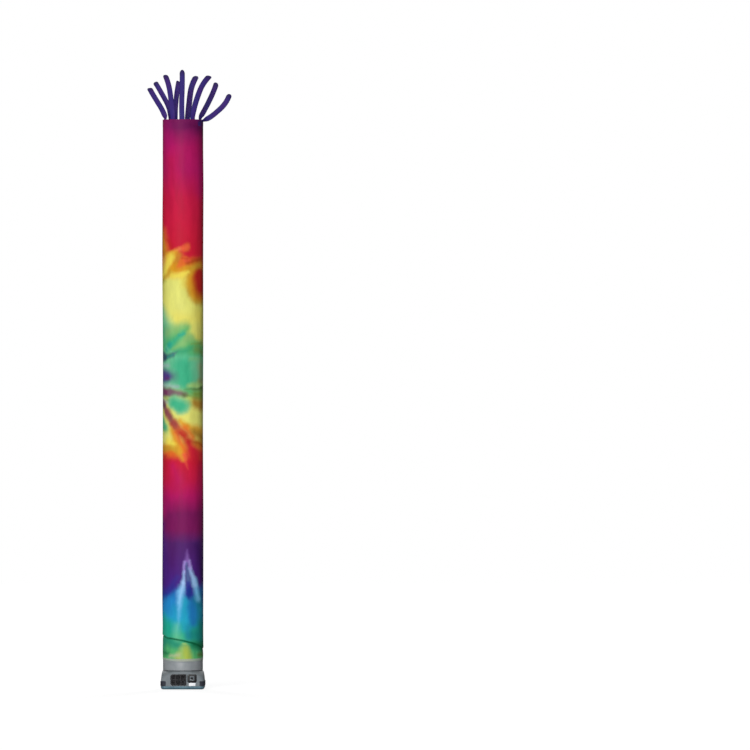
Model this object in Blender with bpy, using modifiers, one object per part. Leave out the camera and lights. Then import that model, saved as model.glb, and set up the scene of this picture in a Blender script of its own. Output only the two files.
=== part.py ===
"""Inflatable air dancer standing on its blower.

A hollow cloth tube is slipped over the collar of a floor blower. Nine cloth
streamers are sewn round its top rim. Metres, +Z up. The origin is the middle
of the blower's flat underside, on the tube's axis, and -Y is the front.
"""

from math import cos, pi, radians, sin

import bmesh
import bpy
from mathutils import Matrix, Vector

# ---- driving sizes -------------------------------------------------------
GAP = 0.0003                # between pieces that touch
CUT_PAST = 0.02             # how far a cutter runs past what it cuts
SIDES = 48                  # facets round the tube, the collar and the housing
HALF_FACET = pi / SIDES     # the first corner of every outline stands here

TUBE_RADIUS = 0.2285        # an 18 inch tube
TUBE_LENGTH = 6.096         # a 20 foot tube
CLOTH = 0.0015              # thickness of the tube's cloth
HEM_HEIGHT = 0.334          # middle of the tube's lower edge
TOP_HEIGHT = HEM_HEIGHT + TUBE_LENGTH

BASE_HALF = 0.247           # half the blower's width
CORNER_RADIUS = 0.050       # its upright corners
BASE_TOP = 0.207            # the joint between housing and collar
TRAY_TOP = 0.035
TRAY_FILLET = 0.027         # the rounded lower edge of the tray
TRAY_WALL = 0.003
HOUSING_WALL = 0.004
SIDE_SHOULDER = 0.080       # height where the housing's left and right sides begin to draw in
FRONT_SHOULDER = 0.145      # height where its front and rear begin to draw in
SHOULDER_STEPS = 8
SHOULDER_TURN = 3.2         # how late the corners turn round
SHOULDER_RADIUS = 0.2285    # the round top of the housing
LEDGE_INSIDE = 0.001        # the ledge under the collar reaches this far past its bore

COLLAR_RADIUS = 0.2255
COLLAR_WALL = 0.005
COLLAR_GRIP = 0.372         # up to here the cloth lies on the collar
COLLAR_TOP = 0.405
COLLAR_GROOVE_HEIGHT = 0.300
COLLAR_GROOVE = 0.0015      # depth of the groove, and half its width

# ---- the tube's sections, from the hem to above the fold ----------------------
# height on the axis, lean (drop from axis to right side), change of radius, and sag (drop
# from axis to front; below 0 the front stands higher than the back)
SNUG = COLLAR_RADIUS + GAP + CLOTH - TUBE_RADIUS
LOW_SECTIONS = (
    # (height, lean, swell, sag)
    (HEM_HEIGHT, 0.004, SNUG, 0.018),
    (0.3640, 0.006, SNUG, 0.014),
    (0.4120, 0.020, -0.0012, 0.000),
    (0.4620, 0.052, -0.0014, -0.016),
    (0.5040, 0.073, -0.0018, -0.027),
    (0.5210, 0.076, -0.0034, -0.029),
    (0.5300, 0.076, -0.0052, -0.029),
    (0.5380, 0.076, -0.0012, -0.029),
    (0.5520, 0.076, 0.0016, -0.028),
    (0.5970, 0.070, 0.0014, -0.024),
    (0.6850, 0.048, 0.0004, -0.012),
    (0.8400, 0.016, 0.0000, 0.000),
)
LONG_SECTIONS = 15          # even sections from the low ones to the rim
RIM_BAND = 0.30             # the rim is held round over this height
WAVES_START, WAVES_END = 0.5, 0.6   # heights over which the waves come and go

WAVES = (
    # (rounds, climbs, phase, depth): soft waves of the blown-up cloth
    (2, 1.4, 0.5, 0.0020),
    (3, -2.3, 1.9, 0.0012),
    (1, 2.9, 2.7, 0.0016),
)

# ---- streamers -------------------------------------------------------------
FOOT_WIDTH = 0.060          # every streamer has this width where it is sewn
FOOT_FADES = 0.35           # share of the length over which it takes its own width
STREAMER_CLOTH = 0.0015
SEWN = 0.036                # length of each streamer that is sewn to the tube
BEND_IN = 0.055             # length over which a streamer inside the rim starts to lean
BEND_OUT = 0.012            # the same for one on the outside
STREAMER_ROWS = 11          # sections above the sewn stretch
STEPS_EACH = 4              # steps along the path between two sections
STREAMER_COLUMNS = 4        # facets across
CURL = 0.004                # how hollow a streamer is across its tip
INSIDE, OUTSIDE = -1, 1
STREAMERS = (
    # (number, rim angle, side, start below rim, length, lean low, lean middle, lean tip,
    #  lean away, facing, faces front by, slant, crown, width)
    (1, 208, INSIDE, 0.000, 0.405, -19, -32, -28, 9, 0.92, 0.16, -0.30, 0.10, 0.060),
    (2, 129.5, INSIDE, 0.000, 0.485, -2, -28, -31, 12, 0.92, 0.20, 0.00, 0.16, 0.058),
    (3, 240, INSIDE, 0.000, 0.515, -4, -7, -21, 8, 0.85, 0.25, -0.25, 0.20, 0.060),
    (4, 114, INSIDE, 0.000, 0.450, 0, 5, 11, 9, 0.85, 0.30, 0.35, 0.10, 0.058),
    (5, 268, INSIDE, 0.000, 0.560, -2, 2, -1, 5, 0.90, 0.50, 0.00, 0.45, 0.059),
    (6, 78, INSIDE, 0.000, 0.525, 7, 6, 28, 10, 0.90, 0.30, -0.25, 0.22, 0.066),
    (7, 300, INSIDE, 0.000, 0.545, 8, 19, 41, 12, 0.90, 0.25, 0.40, 0.12, 0.063),
    (8, 31, INSIDE, 0.000, 0.468, 31, 26, 18, 8, 0.92, 0.18, 0.20, 0.22, 0.061),
    (9, 327, OUTSIDE, 0.038, 0.485, 68, 49, 22, 4, 0.95, 0.25, 0.10, 0.26, 0.061),
)

# ---- fittings on the blower's front ------------------------------------------
GRILLE = dict(left=-0.138, right=0.042, low=0.044, high=0.171, round_left=0.026, round_right=0.007)
GRILLE_DEPTH = 0.014
GRILLE_COLUMNS = 3
GRILLE_SLOTS = 8            # in each column
GRILLE_BORDER = 0.010
SLOT_HEIGHT = 0.0075
CORNER_SLOT_CUT = 0.012     # the slots beside the grille's large corners are this much shorter
COLUMN_BAR = 0.009          # width of the bars between the columns
ROW_BAR = 0.008             # height of the bar across the middle

PANEL = dict(left=0.053, right=0.160, low=0.077, high=0.170, round_left=0.018, round_right=0.018)
PANEL_DEPTH = 0.015
PROUD = 0.0035              # the grille and the switch panel stand out this far
FRAME_WIDTH, FRAME_HEIGHT = 0.049, 0.046
FRAME_PROUD = 0.0055
FRAME_DEPTH = 0.016
FRAME_BORDER = 0.008
FRAME_CORNER = 0.004
HOLE_CORNER = 0.001
ROCKER_SIDE_GAP = 0.0004
ROCKER_END_GAP = 0.0006
ROCKER_VALLEY = 0.30        # how far the middle of its face stands in front of the pivot
ROCKER_REST = 8.0           # degrees that the rocker leans at rest

LABEL = dict(left=0.071, right=0.146, low=0.0390, high=0.0730, round_left=0.003, round_right=0.003)
LABEL_THICKNESS = 0.0010

PAD_REACH = 0.056           # from the blower's side to the end of a corner pad
PAD_LOW, PAD_HIGH = 0.0400, 0.0930
PAD_THICKNESS = 0.0040
PAD_GROOVE = 0.0015         # depth of the groove along its middle
PAD_EDGE = 0.001            # its chamfered edges

GLAND_X, GLAND_HEIGHT = 0.150, 0.075

# ---- colours: base colour, roughness, metallic --------------------------------------
FINISHES = {
    "tie_dye_cloth": ((0.62, 0.06, 0.20), 0.55, 0.0),
    "purple_cloth": ((0.050, 0.026, 0.220), 0.60, 0.0),
    "grey_housing": ((0.30, 0.31, 0.33), 0.45, 0.0),
    "blue_grey_tray": ((0.085, 0.145, 0.190), 0.45, 0.3),
    "black_moulding": ((0.012, 0.012, 0.014), 0.45, 0.0),
    "pale_grey_moulding": ((0.42, 0.46, 0.47), 0.40, 0.0),
    "white_label": ((0.85, 0.87, 0.88), 0.50, 0.0),
    "black_rubber": ((0.020, 0.020, 0.026), 0.75, 0.0),
}


# ---- helpers --------------------------------------------------------------------------

def clear_scene():
    for ob in list(bpy.data.objects):
        bpy.data.objects.remove(ob, do_unlink=True)


def new_collection(name):
    collection = bpy.data.collections.new(name)
    bpy.context.scene.collection.children.link(collection)
    return collection


def finish(name):
    """The named Principled material, made once."""
    if name in bpy.data.materials:
        return bpy.data.materials[name]
    colour, roughness, metallic = FINISHES[name]
    material = bpy.data.materials.new(name)
    material.use_nodes = True
    shader = material.node_tree.nodes["Principled BSDF"]
    shader.inputs["Base Color"].default_value = (*colour, 1.0)
    shader.inputs["Roughness"].default_value = roughness
    shader.inputs["Metallic"].default_value = metallic
    return material


def add_object(name, data, collection, material=None):
    ob = bpy.data.objects.new(name, data)
    collection.objects.link(ob)
    if material:
        data.materials.append(finish(material))
    return ob


def smooth(t):
    """0 to 1 with level ends."""
    t = min(max(t, 0.0), 1.0)
    return t * t * (3.0 - 2.0 * t)


def loft(name, rings, close_along=False, smooth_angle=35, sheet=False):
    """A mesh through rings of points with equal counts. Each ring is a closed loop.

    close_along joins the last ring to the first, as for a hollow wall; otherwise the two
    end rings are capped. sheet is for a thin strip whose rings go across its face and back
    along its rear: both sides are then split along the same diagonals, so that they stay
    apart where the strip twists.
    """
    bm = bmesh.new()
    loops = [[bm.verts.new(p) for p in ring] for ring in rings]
    pairs = list(zip(loops, loops[1:]))
    if close_along:
        pairs.append((loops[-1], loops[0]))
    else:
        bm.faces.new(list(reversed(loops[0])))
        bm.faces.new(loops[-1])
    for low, high in pairs:
        for i in range(len(low)):
            j = (i + 1) % len(low)
            if not sheet:
                bm.faces.new((low[i], low[j], high[j], high[i]))
            elif i < len(low) // 2:
                bm.faces.new((low[i], low[j], high[j]))
                bm.faces.new((low[i], high[j], high[i]))
            else:
                bm.faces.new((low[i], low[j], high[i]))
                bm.faces.new((low[j], high[j], high[i]))
    bmesh.ops.recalc_face_normals(bm, faces=bm.faces)
    if bm.calc_volume(signed=True) < 0:
        bmesh.ops.reverse_faces(bm, faces=bm.faces)
    mesh = bpy.data.meshes.new(name)
    bm.to_mesh(mesh)
    bm.free()
    mesh.shade_smooth()
    mesh.set_sharp_from_angle(angle=radians(smooth_angle))
    return mesh


def rounded_oblong(half_x, half_y, radius, height):
    """One level outline with arcs at its corners. With radius = both halves it is a circle."""
    ring = []
    for i in range(SIDES):
        angle = (2 * i + 1) * HALF_FACET
        corner_x = (half_x - radius) * (1 if cos(angle) > 0 else -1)
        corner_y = (half_y - radius) * (1 if sin(angle) > 0 else -1)
        ring.append((corner_x + radius * cos(angle), corner_y + radius * sin(angle), height))
    return ring


def rounded_square(half, radius, height):
    return rounded_oblong(half, half, radius, height)


def plate_outline(left, right, low, high, round_left, round_right, grow=0.0, steps=5):
    """Corners of an upright plate in (x, z), anticlockwise, with arcs at its four corners."""
    corners = (
        (right, low, round_right, -90),
        (right, high, round_right, 0),
        (left, high, round_left, 90),
        (left, low, round_left, 180),
    )
    outline = []
    for x, z, radius, start in corners:
        centre_x = x - radius if x == right else x + radius
        centre_z = z - radius if z == high else z + radius
        for k in range(steps + 1):
            angle = radians(start + 90 * k / steps)
            reach = radius + grow
            outline.append((centre_x + reach * cos(angle), centre_z + reach * sin(angle)))
    return outline


def plate_mesh(name, front_y, depth, grow=0.0, **sizes):
    """An upright plate whose front is at front_y and which runs back by depth."""
    outline = plate_outline(grow=grow, **sizes)
    rings = [[(x, y, z) for x, z in outline] for y in (front_y, front_y + depth)]
    return loft(name, rings)


def cut(ob, cutter):
    modifier = ob.modifiers.new("cut " + cutter.name, "BOOLEAN")
    modifier.operation = "DIFFERENCE"
    modifier.solver = "EXACT"
    modifier.object = cutter


def add_cutter(name, mesh, cutters):
    ob = add_object(name, mesh, cutters)
    ob.hide_render = True
    ob.display_type = "WIRE"
    return ob


# ---- the tube ---------------------------------------------------------------------------

def tube_sections():
    """(height, lean, swell, sag) of every section from the hem to the rim."""
    sections = list(LOW_SECTIONS)
    last = sections[-1][0]
    for k in range(1, LONG_SECTIONS + 1):
        sections.append((last + (TOP_HEIGHT - last) * k / LONG_SECTIONS, 0.0, 0.0, 0.0))
    return sections


def wave(angle, height):
    """Radial waves of the cloth, none at the grip on the collar and none at the rim."""
    climb = (height - HEM_HEIGHT) / TUBE_LENGTH
    depth = sum(d * sin(n * angle + 2 * pi * c * climb + p) for n, c, p, d in WAVES)
    start = smooth((height - COLLAR_TOP) / WAVES_START)
    end = smooth((TOP_HEIGHT - RIM_BAND - height) / WAVES_END)
    return depth * start * end


def tube_ring(height, lean, swell, sag, inward):
    """One section of the tube; inward is 0 for its outer face and CLOTH for its inner face."""
    ring = []
    for i in range(SIDES):
        angle = (2 * i + 1) * HALF_FACET
        radius = TUBE_RADIUS + swell + wave(angle, height) - inward
        z = height - lean * cos(angle) + sag * sin(angle)
        ring.append((radius * cos(angle), radius * sin(angle), z))
    return ring


def make_tube(parts):
    """The printed tube: one hollow sheet, open at the hem and at the rim."""
    sections = tube_sections()
    outer = [tube_ring(*section, 0.0) for section in sections]
    inner = [tube_ring(*section, CLOTH) for section in reversed(sections)]
    mesh = loft("tube", outer + inner, close_along=True)
    add_object("tube", mesh, parts, "tie_dye_cloth")


# ---- the streamers --------------------------------------------------------------------------

def lean_at(distance, length, bend, low, middle, tip):
    """Sideways lean in radians, eased in from upright, then low to middle to tip."""
    share = distance / length
    if share < 0.5:
        lean = low + (middle - low) * smooth(share * 2)
    else:
        lean = middle + (tip - middle) * smooth(share * 2 - 1)
    return radians(lean) * smooth(distance / bend)


def streamer_path(angle, side, drop, length, low, middle, tip, away):
    """Points and directions from the foot of the sewn stretch to the tip."""
    if side == INSIDE:
        radius = (TUBE_RADIUS - CLOTH) * cos(HALF_FACET) - GAP - STREAMER_CLOTH / 2
        bend = BEND_IN
    else:
        radius = TUBE_RADIUS + 1.5 * GAP + STREAMER_CLOTH / 2
        bend = BEND_OUT
    outward = Vector((cos(angle), sin(angle), 0.0))
    front_or_back = -1 if sin(angle) < 0 else 1
    up = Vector((0.0, 0.0, 1.0))
    foot = outward * radius + up * (TOP_HEIGHT - drop)
    stations = [(foot - up * SEWN, up, 0.0), (foot, up, 0.0)]
    point = foot
    step = length / (STREAMER_ROWS * STEPS_EACH)
    for row in range(STREAMER_ROWS):
        for k in range(STEPS_EACH):
            along = (row * STEPS_EACH + k + 0.5) * step
            lean = lean_at(along, length, bend, low, middle, tip)
            back = radians(away) * smooth(along / (3 * BEND_IN)) * front_or_back
            direction = Vector((sin(lean), sin(back), cos(lean) * cos(back))).normalized()
            point = point + direction * step
        stations.append((point, direction, (row + 1) / STREAMER_ROWS))
    return stations


def streamer_rows(angle, stations, facing, faces_by, slant, crown, width):
    """For each station: points across the streamer on its middle surface, and its normal."""
    tangent = Vector((-sin(angle), cos(angle), 0.0))
    across_front = Vector((1.0 if tangent.x > 0 else -1.0, 0.0, 0.0))
    rows = []
    for point, direction, share in stations:
        turn = facing * smooth(share / faces_by)
        across = tangent.lerp(across_front, turn)
        across = (across - direction * across.dot(direction)).normalized()
        normal = across.cross(direction).normalized()
        half = (FOOT_WIDTH + (width - FOOT_WIDTH) * smooth(share / FOOT_FADES)) / 2
        hollow = half ** 2 / (2 * TUBE_RADIUS) * (1 - share) + CURL * share
        row = []
        for k in range(STREAMER_COLUMNS + 1):
            u = 2 * k / STREAMER_COLUMNS - 1
            end = (slant * u / 2 - crown * u * u) * width * smooth(share * 3 - 2)
            row.append(
                point + across * (u * half) + direction * end
                - normal * (hollow * u * u)
            )
        rows.append((row, normal))
    return rows


def make_streamer(number, degrees, side, drop, length, low, middle, tip, away,
                  facing, faces_by, slant, crown, width, parts):
    angle = radians(degrees)
    stations = streamer_path(angle, side, drop, length, low, middle, tip, away)
    half = STREAMER_CLOTH / 2
    rings = []
    for row, normal in streamer_rows(
            angle, stations, facing, faces_by, slant, crown, width):
        face = [p + normal * half for p in row]
        back = [p - normal * half for p in reversed(row)]
        rings.append(face + back)
    mesh = loft(f"streamer_{number}", rings, smooth_angle=50, sheet=True)
    add_object(f"streamer_{number}", mesh, parts, "purple_cloth")


# ---- the blower's shell --------------------------------------------------------------------------

def quarter_round(share):
    """How far a quarter circle has fallen at a share of its run: 0 to 1."""
    share = min(max(share, 0.0), 1.0)
    return 1.0 - (1.0 - share * share) ** 0.5


def housing_rings(inset):
    """Sections of the housing from its foot to its round top, drawn in by inset."""
    draw_in = BASE_HALF - SHOULDER_RADIUS
    rings = [rounded_square(BASE_HALF - inset, CORNER_RADIUS - inset, TRAY_TOP + GAP)]
    for k in range(SHOULDER_STEPS + 1):
        rise = sin(k / SHOULDER_STEPS * pi / 2)
        height = SIDE_SHOULDER + (BASE_TOP - SIDE_SHOULDER) * rise
        front_share = (height - FRONT_SHOULDER) / (BASE_TOP - FRONT_SHOULDER)
        half_x = BASE_HALF - draw_in * (quarter_round(rise) + rise) / 2
        half_y = BASE_HALF - draw_in * quarter_round(front_share)
        radius = CORNER_RADIUS + (min(half_x, half_y) - CORNER_RADIUS) * rise ** SHOULDER_TURN
        sunk = inset * rise
        rings.append(rounded_oblong(half_x - inset, half_y - inset, radius - inset, height - sunk))
    return rings


def make_housing(parts, cutters):
    """The moulded housing: square below, drawn in to a round ledge that carries the collar."""
    ledge = COLLAR_RADIUS - COLLAR_WALL - LEDGE_INSIDE
    outer = housing_rings(0.0)
    rim = [rounded_square(ledge, ledge, z) for z in (BASE_TOP, BASE_TOP - HOUSING_WALL)]
    inner = list(reversed(housing_rings(HOUSING_WALL)))
    mesh = loft("housing", outer + rim + inner, close_along=True)
    ob = add_object("housing", mesh, parts, "grey_housing")
    for name, sizes in (("grille window", GRILLE), ("panel window", PANEL)):
        window = plate_mesh(name, -BASE_HALF - CUT_PAST, 3 * CUT_PAST, grow=GAP, **sizes)
        cut(ob, add_cutter(name, window, cutters))


def make_tray(parts):
    """The steel tray under the housing: a flat pan with a rounded lower edge."""
    outer, inner = [], []
    steps = 4
    for k in range(steps + 1):
        turn = k / steps * pi / 2
        inset = TRAY_FILLET * (1 - sin(turn))
        height = TRAY_FILLET * (1 - cos(turn))
        outer.append(rounded_square(BASE_HALF - inset, CORNER_RADIUS - inset, height))
        inner_fillet = TRAY_FILLET - TRAY_WALL
        inset = TRAY_WALL + inner_fillet * (1 - sin(turn))
        height = TRAY_WALL + inner_fillet * (1 - cos(turn))
        inner.append(rounded_square(BASE_HALF - inset, CORNER_RADIUS - inset, height))
    outer.append(rounded_square(BASE_HALF, CORNER_RADIUS, TRAY_TOP))
    inner.append(rounded_square(BASE_HALF - TRAY_WALL, CORNER_RADIUS - TRAY_WALL, TRAY_TOP))
    mesh = loft("tray", outer + list(reversed(inner)))
    add_object("tray", mesh, parts, "blue_grey_tray")


def make_collar(parts):
    """The round outlet that the tube is slipped over, turned from its section."""
    inner = COLLAR_RADIUS - COLLAR_WALL
    groove = COLLAR_GROOVE
    foot = BASE_TOP + GAP
    section = (
        (inner - 0.003, COLLAR_TOP),
        (COLLAR_RADIUS - 0.005, COLLAR_TOP),
        (COLLAR_RADIUS - 0.003, COLLAR_TOP - 0.004),
        (COLLAR_RADIUS, COLLAR_GRIP),
        (COLLAR_RADIUS, COLLAR_GROOVE_HEIGHT + 2 * groove),
        (COLLAR_RADIUS - groove, COLLAR_GROOVE_HEIGHT + groove),
        (COLLAR_RADIUS - groove, COLLAR_GROOVE_HEIGHT - groove),
        (COLLAR_RADIUS, COLLAR_GROOVE_HEIGHT - 2 * groove),
        (COLLAR_RADIUS, foot + 0.002),
        (COLLAR_RADIUS - 0.0015, foot),
        (inner, foot),
        (inner, COLLAR_GRIP),
    )
    bm = bmesh.new()
    verts = [bm.verts.new((r, 0.0, z)) for r, z in section]
    for i, vert in enumerate(verts):
        bm.edges.new((vert, verts[(i + 1) % len(verts)]))
    bmesh.ops.rotate(bm, verts=bm.verts, matrix=Matrix.Rotation(HALF_FACET, 3, "Z"))
    mesh = bpy.data.meshes.new("collar")
    bm.to_mesh(mesh)
    bm.free()
    ob = add_object("collar", mesh, parts, "grey_housing")
    screw = ob.modifiers.new("turned", "SCREW")
    screw.axis = "Z"
    screw.steps = SIDES
    screw.render_steps = SIDES
    screw.use_merge_vertices = True
    screw.merge_threshold = 0.00001
    screw.use_smooth_shade = False


# ---- fittings ------------------------------------------------------------------------------

def grille_slots():
    """(left, right, low, high) of each louvre slot, in columns with a bar across the middle."""
    left, right = GRILLE["left"] + GRILLE_BORDER, GRILLE["right"] - GRILLE_BORDER
    low, high = GRILLE["low"] + GRILLE_BORDER, GRILLE["high"] - GRILLE_BORDER
    width = (right - left - (GRILLE_COLUMNS - 1) * COLUMN_BAR) / GRILLE_COLUMNS
    pitch = (high - low - ROW_BAR) / GRILLE_SLOTS
    for column in range(GRILLE_COLUMNS):
        x = left + column * (width + COLUMN_BAR)
        for slot in range(GRILLE_SLOTS):
            z = low + (slot + 0.5) * pitch + (ROW_BAR if slot >= GRILLE_SLOTS // 2 else 0.0)
            at_corner = column == 0 and slot in (0, GRILLE_SLOTS - 1)
            start = x + (CORNER_SLOT_CUT if at_corner else 0.0)
            yield start, x + width, z - SLOT_HEIGHT / 2, z + SLOT_HEIGHT / 2


def make_grille(parts, cutters):
    """The black intake grille, snapped into its window, with three columns of slots."""
    front = -BASE_HALF - PROUD
    mesh = plate_mesh("intake_grille", front, GRILLE_DEPTH, **GRILLE)
    ob = add_object("intake_grille", mesh, parts, "black_moulding")
    bm = bmesh.new()
    for left, right, low, high in grille_slots():
        size = Vector((right - left, GRILLE_DEPTH + CUT_PAST, high - low))
        middle = Vector(((left + right) / 2, front + GRILLE_DEPTH / 2, (low + high) / 2))
        matrix = Matrix.Translation(middle) @ Matrix.Diagonal((*size, 1.0))
        bmesh.ops.create_cube(bm, size=1.0, matrix=matrix)
    slots = bpy.data.meshes.new("grille slots")
    bm.to_mesh(slots)
    bm.free()
    cut(ob, add_cutter("grille slots", slots, cutters))


def panel_middle():
    return (PANEL["left"] + PANEL["right"]) / 2, (PANEL["low"] + PANEL["high"]) / 2


def frame_sizes(shrink):
    """The switch frame's outline, made smaller all round by shrink."""
    x, z = panel_middle()
    radius = max(FRAME_CORNER - shrink, HOLE_CORNER)
    return dict(
        left=x - FRAME_WIDTH / 2 + shrink, right=x + FRAME_WIDTH / 2 - shrink,
        low=z - FRAME_HEIGHT / 2 + shrink, high=z + FRAME_HEIGHT / 2 - shrink,
        round_left=radius, round_right=radius,
    )


def make_switch_panel(parts, cutters):
    """The black panel in its window, with a hole for the switch frame."""
    mesh = plate_mesh("switch_panel", -BASE_HALF - PROUD, PANEL_DEPTH, **PANEL)
    ob = add_object("switch_panel", mesh, parts, "black_moulding")
    sizes = frame_sizes(0.0)
    hole = plate_mesh("frame hole", -BASE_HALF - CUT_PAST, 3 * CUT_PAST, grow=GAP, **sizes)
    cut(ob, add_cutter("frame hole", hole, cutters))


def make_switch_frame(parts, cutters):
    """The pale frame round the rocker."""
    front = -BASE_HALF - FRAME_PROUD
    mesh = plate_mesh("switch_frame", front, FRAME_DEPTH, **frame_sizes(0.0))
    ob = add_object("switch_frame", mesh, parts, "pale_grey_moulding")
    sizes = frame_sizes(FRAME_BORDER)
    hole = plate_mesh("rocker hole", front - CUT_PAST, 3 * CUT_PAST, **sizes)
    cut(ob, add_cutter("rocker hole", hole, cutters))


def make_rocker(parts):
    """The rocker, drawn in its own section about its pivot and leaning at rest."""
    x, z = panel_middle()
    reach = FRAME_HEIGHT / 2 - FRAME_BORDER - ROCKER_END_GAP
    half_width = FRAME_WIDTH / 2 - FRAME_BORDER - ROCKER_SIDE_GAP
    section = [(-ROCKER_VALLEY * reach, 0.0)]
    for degrees in range(60, 301, 20):
        angle = radians(degrees)
        section.append((-reach * cos(angle), reach * sin(angle)))
    rings = [[(side * half_width, y, up) for y, up in section] for side in (-1, 1)]
    mesh = loft("rocker", rings, smooth_angle=30)
    ob = add_object("rocker", mesh, parts, "black_moulding")
    ob.location = (x, -BASE_HALF, z)
    ob.rotation_euler = (radians(ROCKER_REST), 0.0, 0.0)


def make_label(parts):
    """The bare white label below the switch panel."""
    face = BASE_HALF - CORNER_RADIUS * (1 - cos(HALF_FACET)) + GAP
    mesh = plate_mesh("label", -face - LABEL_THICKNESS, LABEL_THICKNESS, **LABEL)
    add_object("label", mesh, parts, "white_label")


def corner_path(out):
    """Points (x, y) round the front left corner, at a distance out from the housing."""
    half, radius = BASE_HALF + out, CORNER_RADIUS + out
    centre = -(BASE_HALF - CORNER_RADIUS)
    end = -(BASE_HALF - PAD_REACH)
    path = [(end, -half)]
    for i in range(SIDES // 4):
        angle = radians(270) - (2 * i + 1) * HALF_FACET
        path.append((centre + radius * cos(angle), centre + radius * sin(angle)))
    path.append((-half, end))
    return path


def make_corner_pads(parts):
    """A grooved rubber pad round each upright corner, each a turned copy of the first."""
    height = PAD_HIGH - PAD_LOW
    full, groove, edge = PAD_THICKNESS, PAD_THICKNESS - PAD_GROOVE, PAD_THICKNESS - PAD_EDGE
    section = (
        # (out, up)
        (0.0, 0.0), (edge, 0.0), (full, 2 * PAD_EDGE), (full, height * 0.43),
        (groove, height * 0.46), (groove, height * 0.54), (full, height * 0.57),
        (full, height - 2 * PAD_EDGE), (edge, height), (0.0, height),
    )
    layers = [corner_path(GAP + out) for out, _ in section]
    rings = []
    for station in range(len(layers[0])):
        rings.append([(*layers[k][station], PAD_LOW + section[k][1]) for k in range(len(section))])
    mesh = loft("corner_pad", rings)
    names = ("front_left", "front_right", "rear_right", "rear_left")
    for turn, name in enumerate(names):
        ob = add_object(f"corner_pad_{name}", mesh, parts)
        ob.rotation_euler = (0.0, 0.0, turn * pi / 2)
    mesh.materials.append(finish("black_rubber"))


def make_cable_gland(parts):
    """The gland at the rear that the mains lead goes through, turned about its own axis."""
    section = (
        (0.0, 0.0), (0.0170, 0.0), (0.0170, 0.0030), (0.0125, 0.0035), (0.0125, 0.0120),
        (0.0105, 0.0165), (0.0070, 0.0180), (0.0045, 0.0180), (0.0045, 0.0060), (0.0, 0.0060),
    )
    bm = bmesh.new()
    verts = [bm.verts.new((r, 0.0, z)) for r, z in section]
    for low, high in zip(verts, verts[1:]):
        bm.edges.new((low, high))
    mesh = bpy.data.meshes.new("cable_gland")
    bm.to_mesh(mesh)
    bm.free()
    ob = add_object("cable_gland", mesh, parts, "black_rubber")
    screw = ob.modifiers.new("turned", "SCREW")
    screw.axis = "Z"
    screw.steps = 20
    screw.render_steps = 20
    screw.use_merge_vertices = True
    screw.merge_threshold = 0.00001
    screw.use_normal_flip = True
    ob.rotation_euler = (-pi / 2, 0.0, 0.0)
    ob.location = (GLAND_X, BASE_HALF + GAP, GLAND_HEIGHT)


def main():
    clear_scene()
    parts = new_collection("air_dancer")
    cutters = new_collection("cutters")
    make_tube(parts)
    for row in STREAMERS:
        make_streamer(*row, parts)
    make_tray(parts)
    make_housing(parts, cutters)
    make_collar(parts)
    make_grille(parts, cutters)
    make_switch_panel(parts, cutters)
    make_switch_frame(parts, cutters)
    make_rocker(parts)
    make_label(parts)
    make_corner_pads(parts)
    make_cable_gland(parts)


main()
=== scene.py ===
"""Looks of an inflatable air dancer: printed tube, sewn streamers and blower.

Metres, +Z up, -Y the front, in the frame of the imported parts. "Around" is the distance
round the tube from the middle of its front, towards +X, and "height" is above the floor.
"""

from math import pi, radians

import bmesh
import bpy
import numpy as np
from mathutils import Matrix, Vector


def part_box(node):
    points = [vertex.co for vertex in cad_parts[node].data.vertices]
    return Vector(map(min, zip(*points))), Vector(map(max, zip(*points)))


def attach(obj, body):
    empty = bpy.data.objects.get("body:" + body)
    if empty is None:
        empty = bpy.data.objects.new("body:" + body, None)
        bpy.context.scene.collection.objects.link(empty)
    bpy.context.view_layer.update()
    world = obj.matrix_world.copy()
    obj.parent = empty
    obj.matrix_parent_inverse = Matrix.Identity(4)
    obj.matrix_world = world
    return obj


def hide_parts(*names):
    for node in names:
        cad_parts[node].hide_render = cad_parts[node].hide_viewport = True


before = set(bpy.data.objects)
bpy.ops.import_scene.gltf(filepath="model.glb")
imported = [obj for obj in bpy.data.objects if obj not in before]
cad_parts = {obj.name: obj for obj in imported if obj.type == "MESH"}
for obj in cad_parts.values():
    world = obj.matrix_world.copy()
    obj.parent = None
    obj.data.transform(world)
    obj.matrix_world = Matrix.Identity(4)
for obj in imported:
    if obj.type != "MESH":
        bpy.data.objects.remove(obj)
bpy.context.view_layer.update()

# ---- sizes shared with the solid parts ---------------------------------------
GAP = 0.0003
TUBE_RADIUS = 0.2285
TUBE_LENGTH = 6.096
CLOTH = 0.0015
HEM_HEIGHT = 0.334
TOP_HEIGHT = HEM_HEIGHT + TUBE_LENGTH
ROUND_THE_TUBE = 2 * pi * TUBE_RADIUS

BASE_HALF = 0.247
CORNER_RADIUS = 0.050
BASE_TOP = 0.207
TRAY_TOP = 0.035
TRAY_FILLET = 0.027
TRAY_WALL = 0.003
HOUSING_WALL = 0.004
SIDE_SHOULDER = 0.080
FRONT_SHOULDER = 0.145
SHOULDER_TURN = 3.2
SHOULDER_RADIUS = 0.2285
COLLAR_RADIUS = 0.2255
COLLAR_WALL = 0.005
COLLAR_GRIP = 0.372
COLLAR_TOP = 0.405
COLLAR_GROOVE_HEIGHT = 0.300
COLLAR_GROOVE = 0.0015

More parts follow.
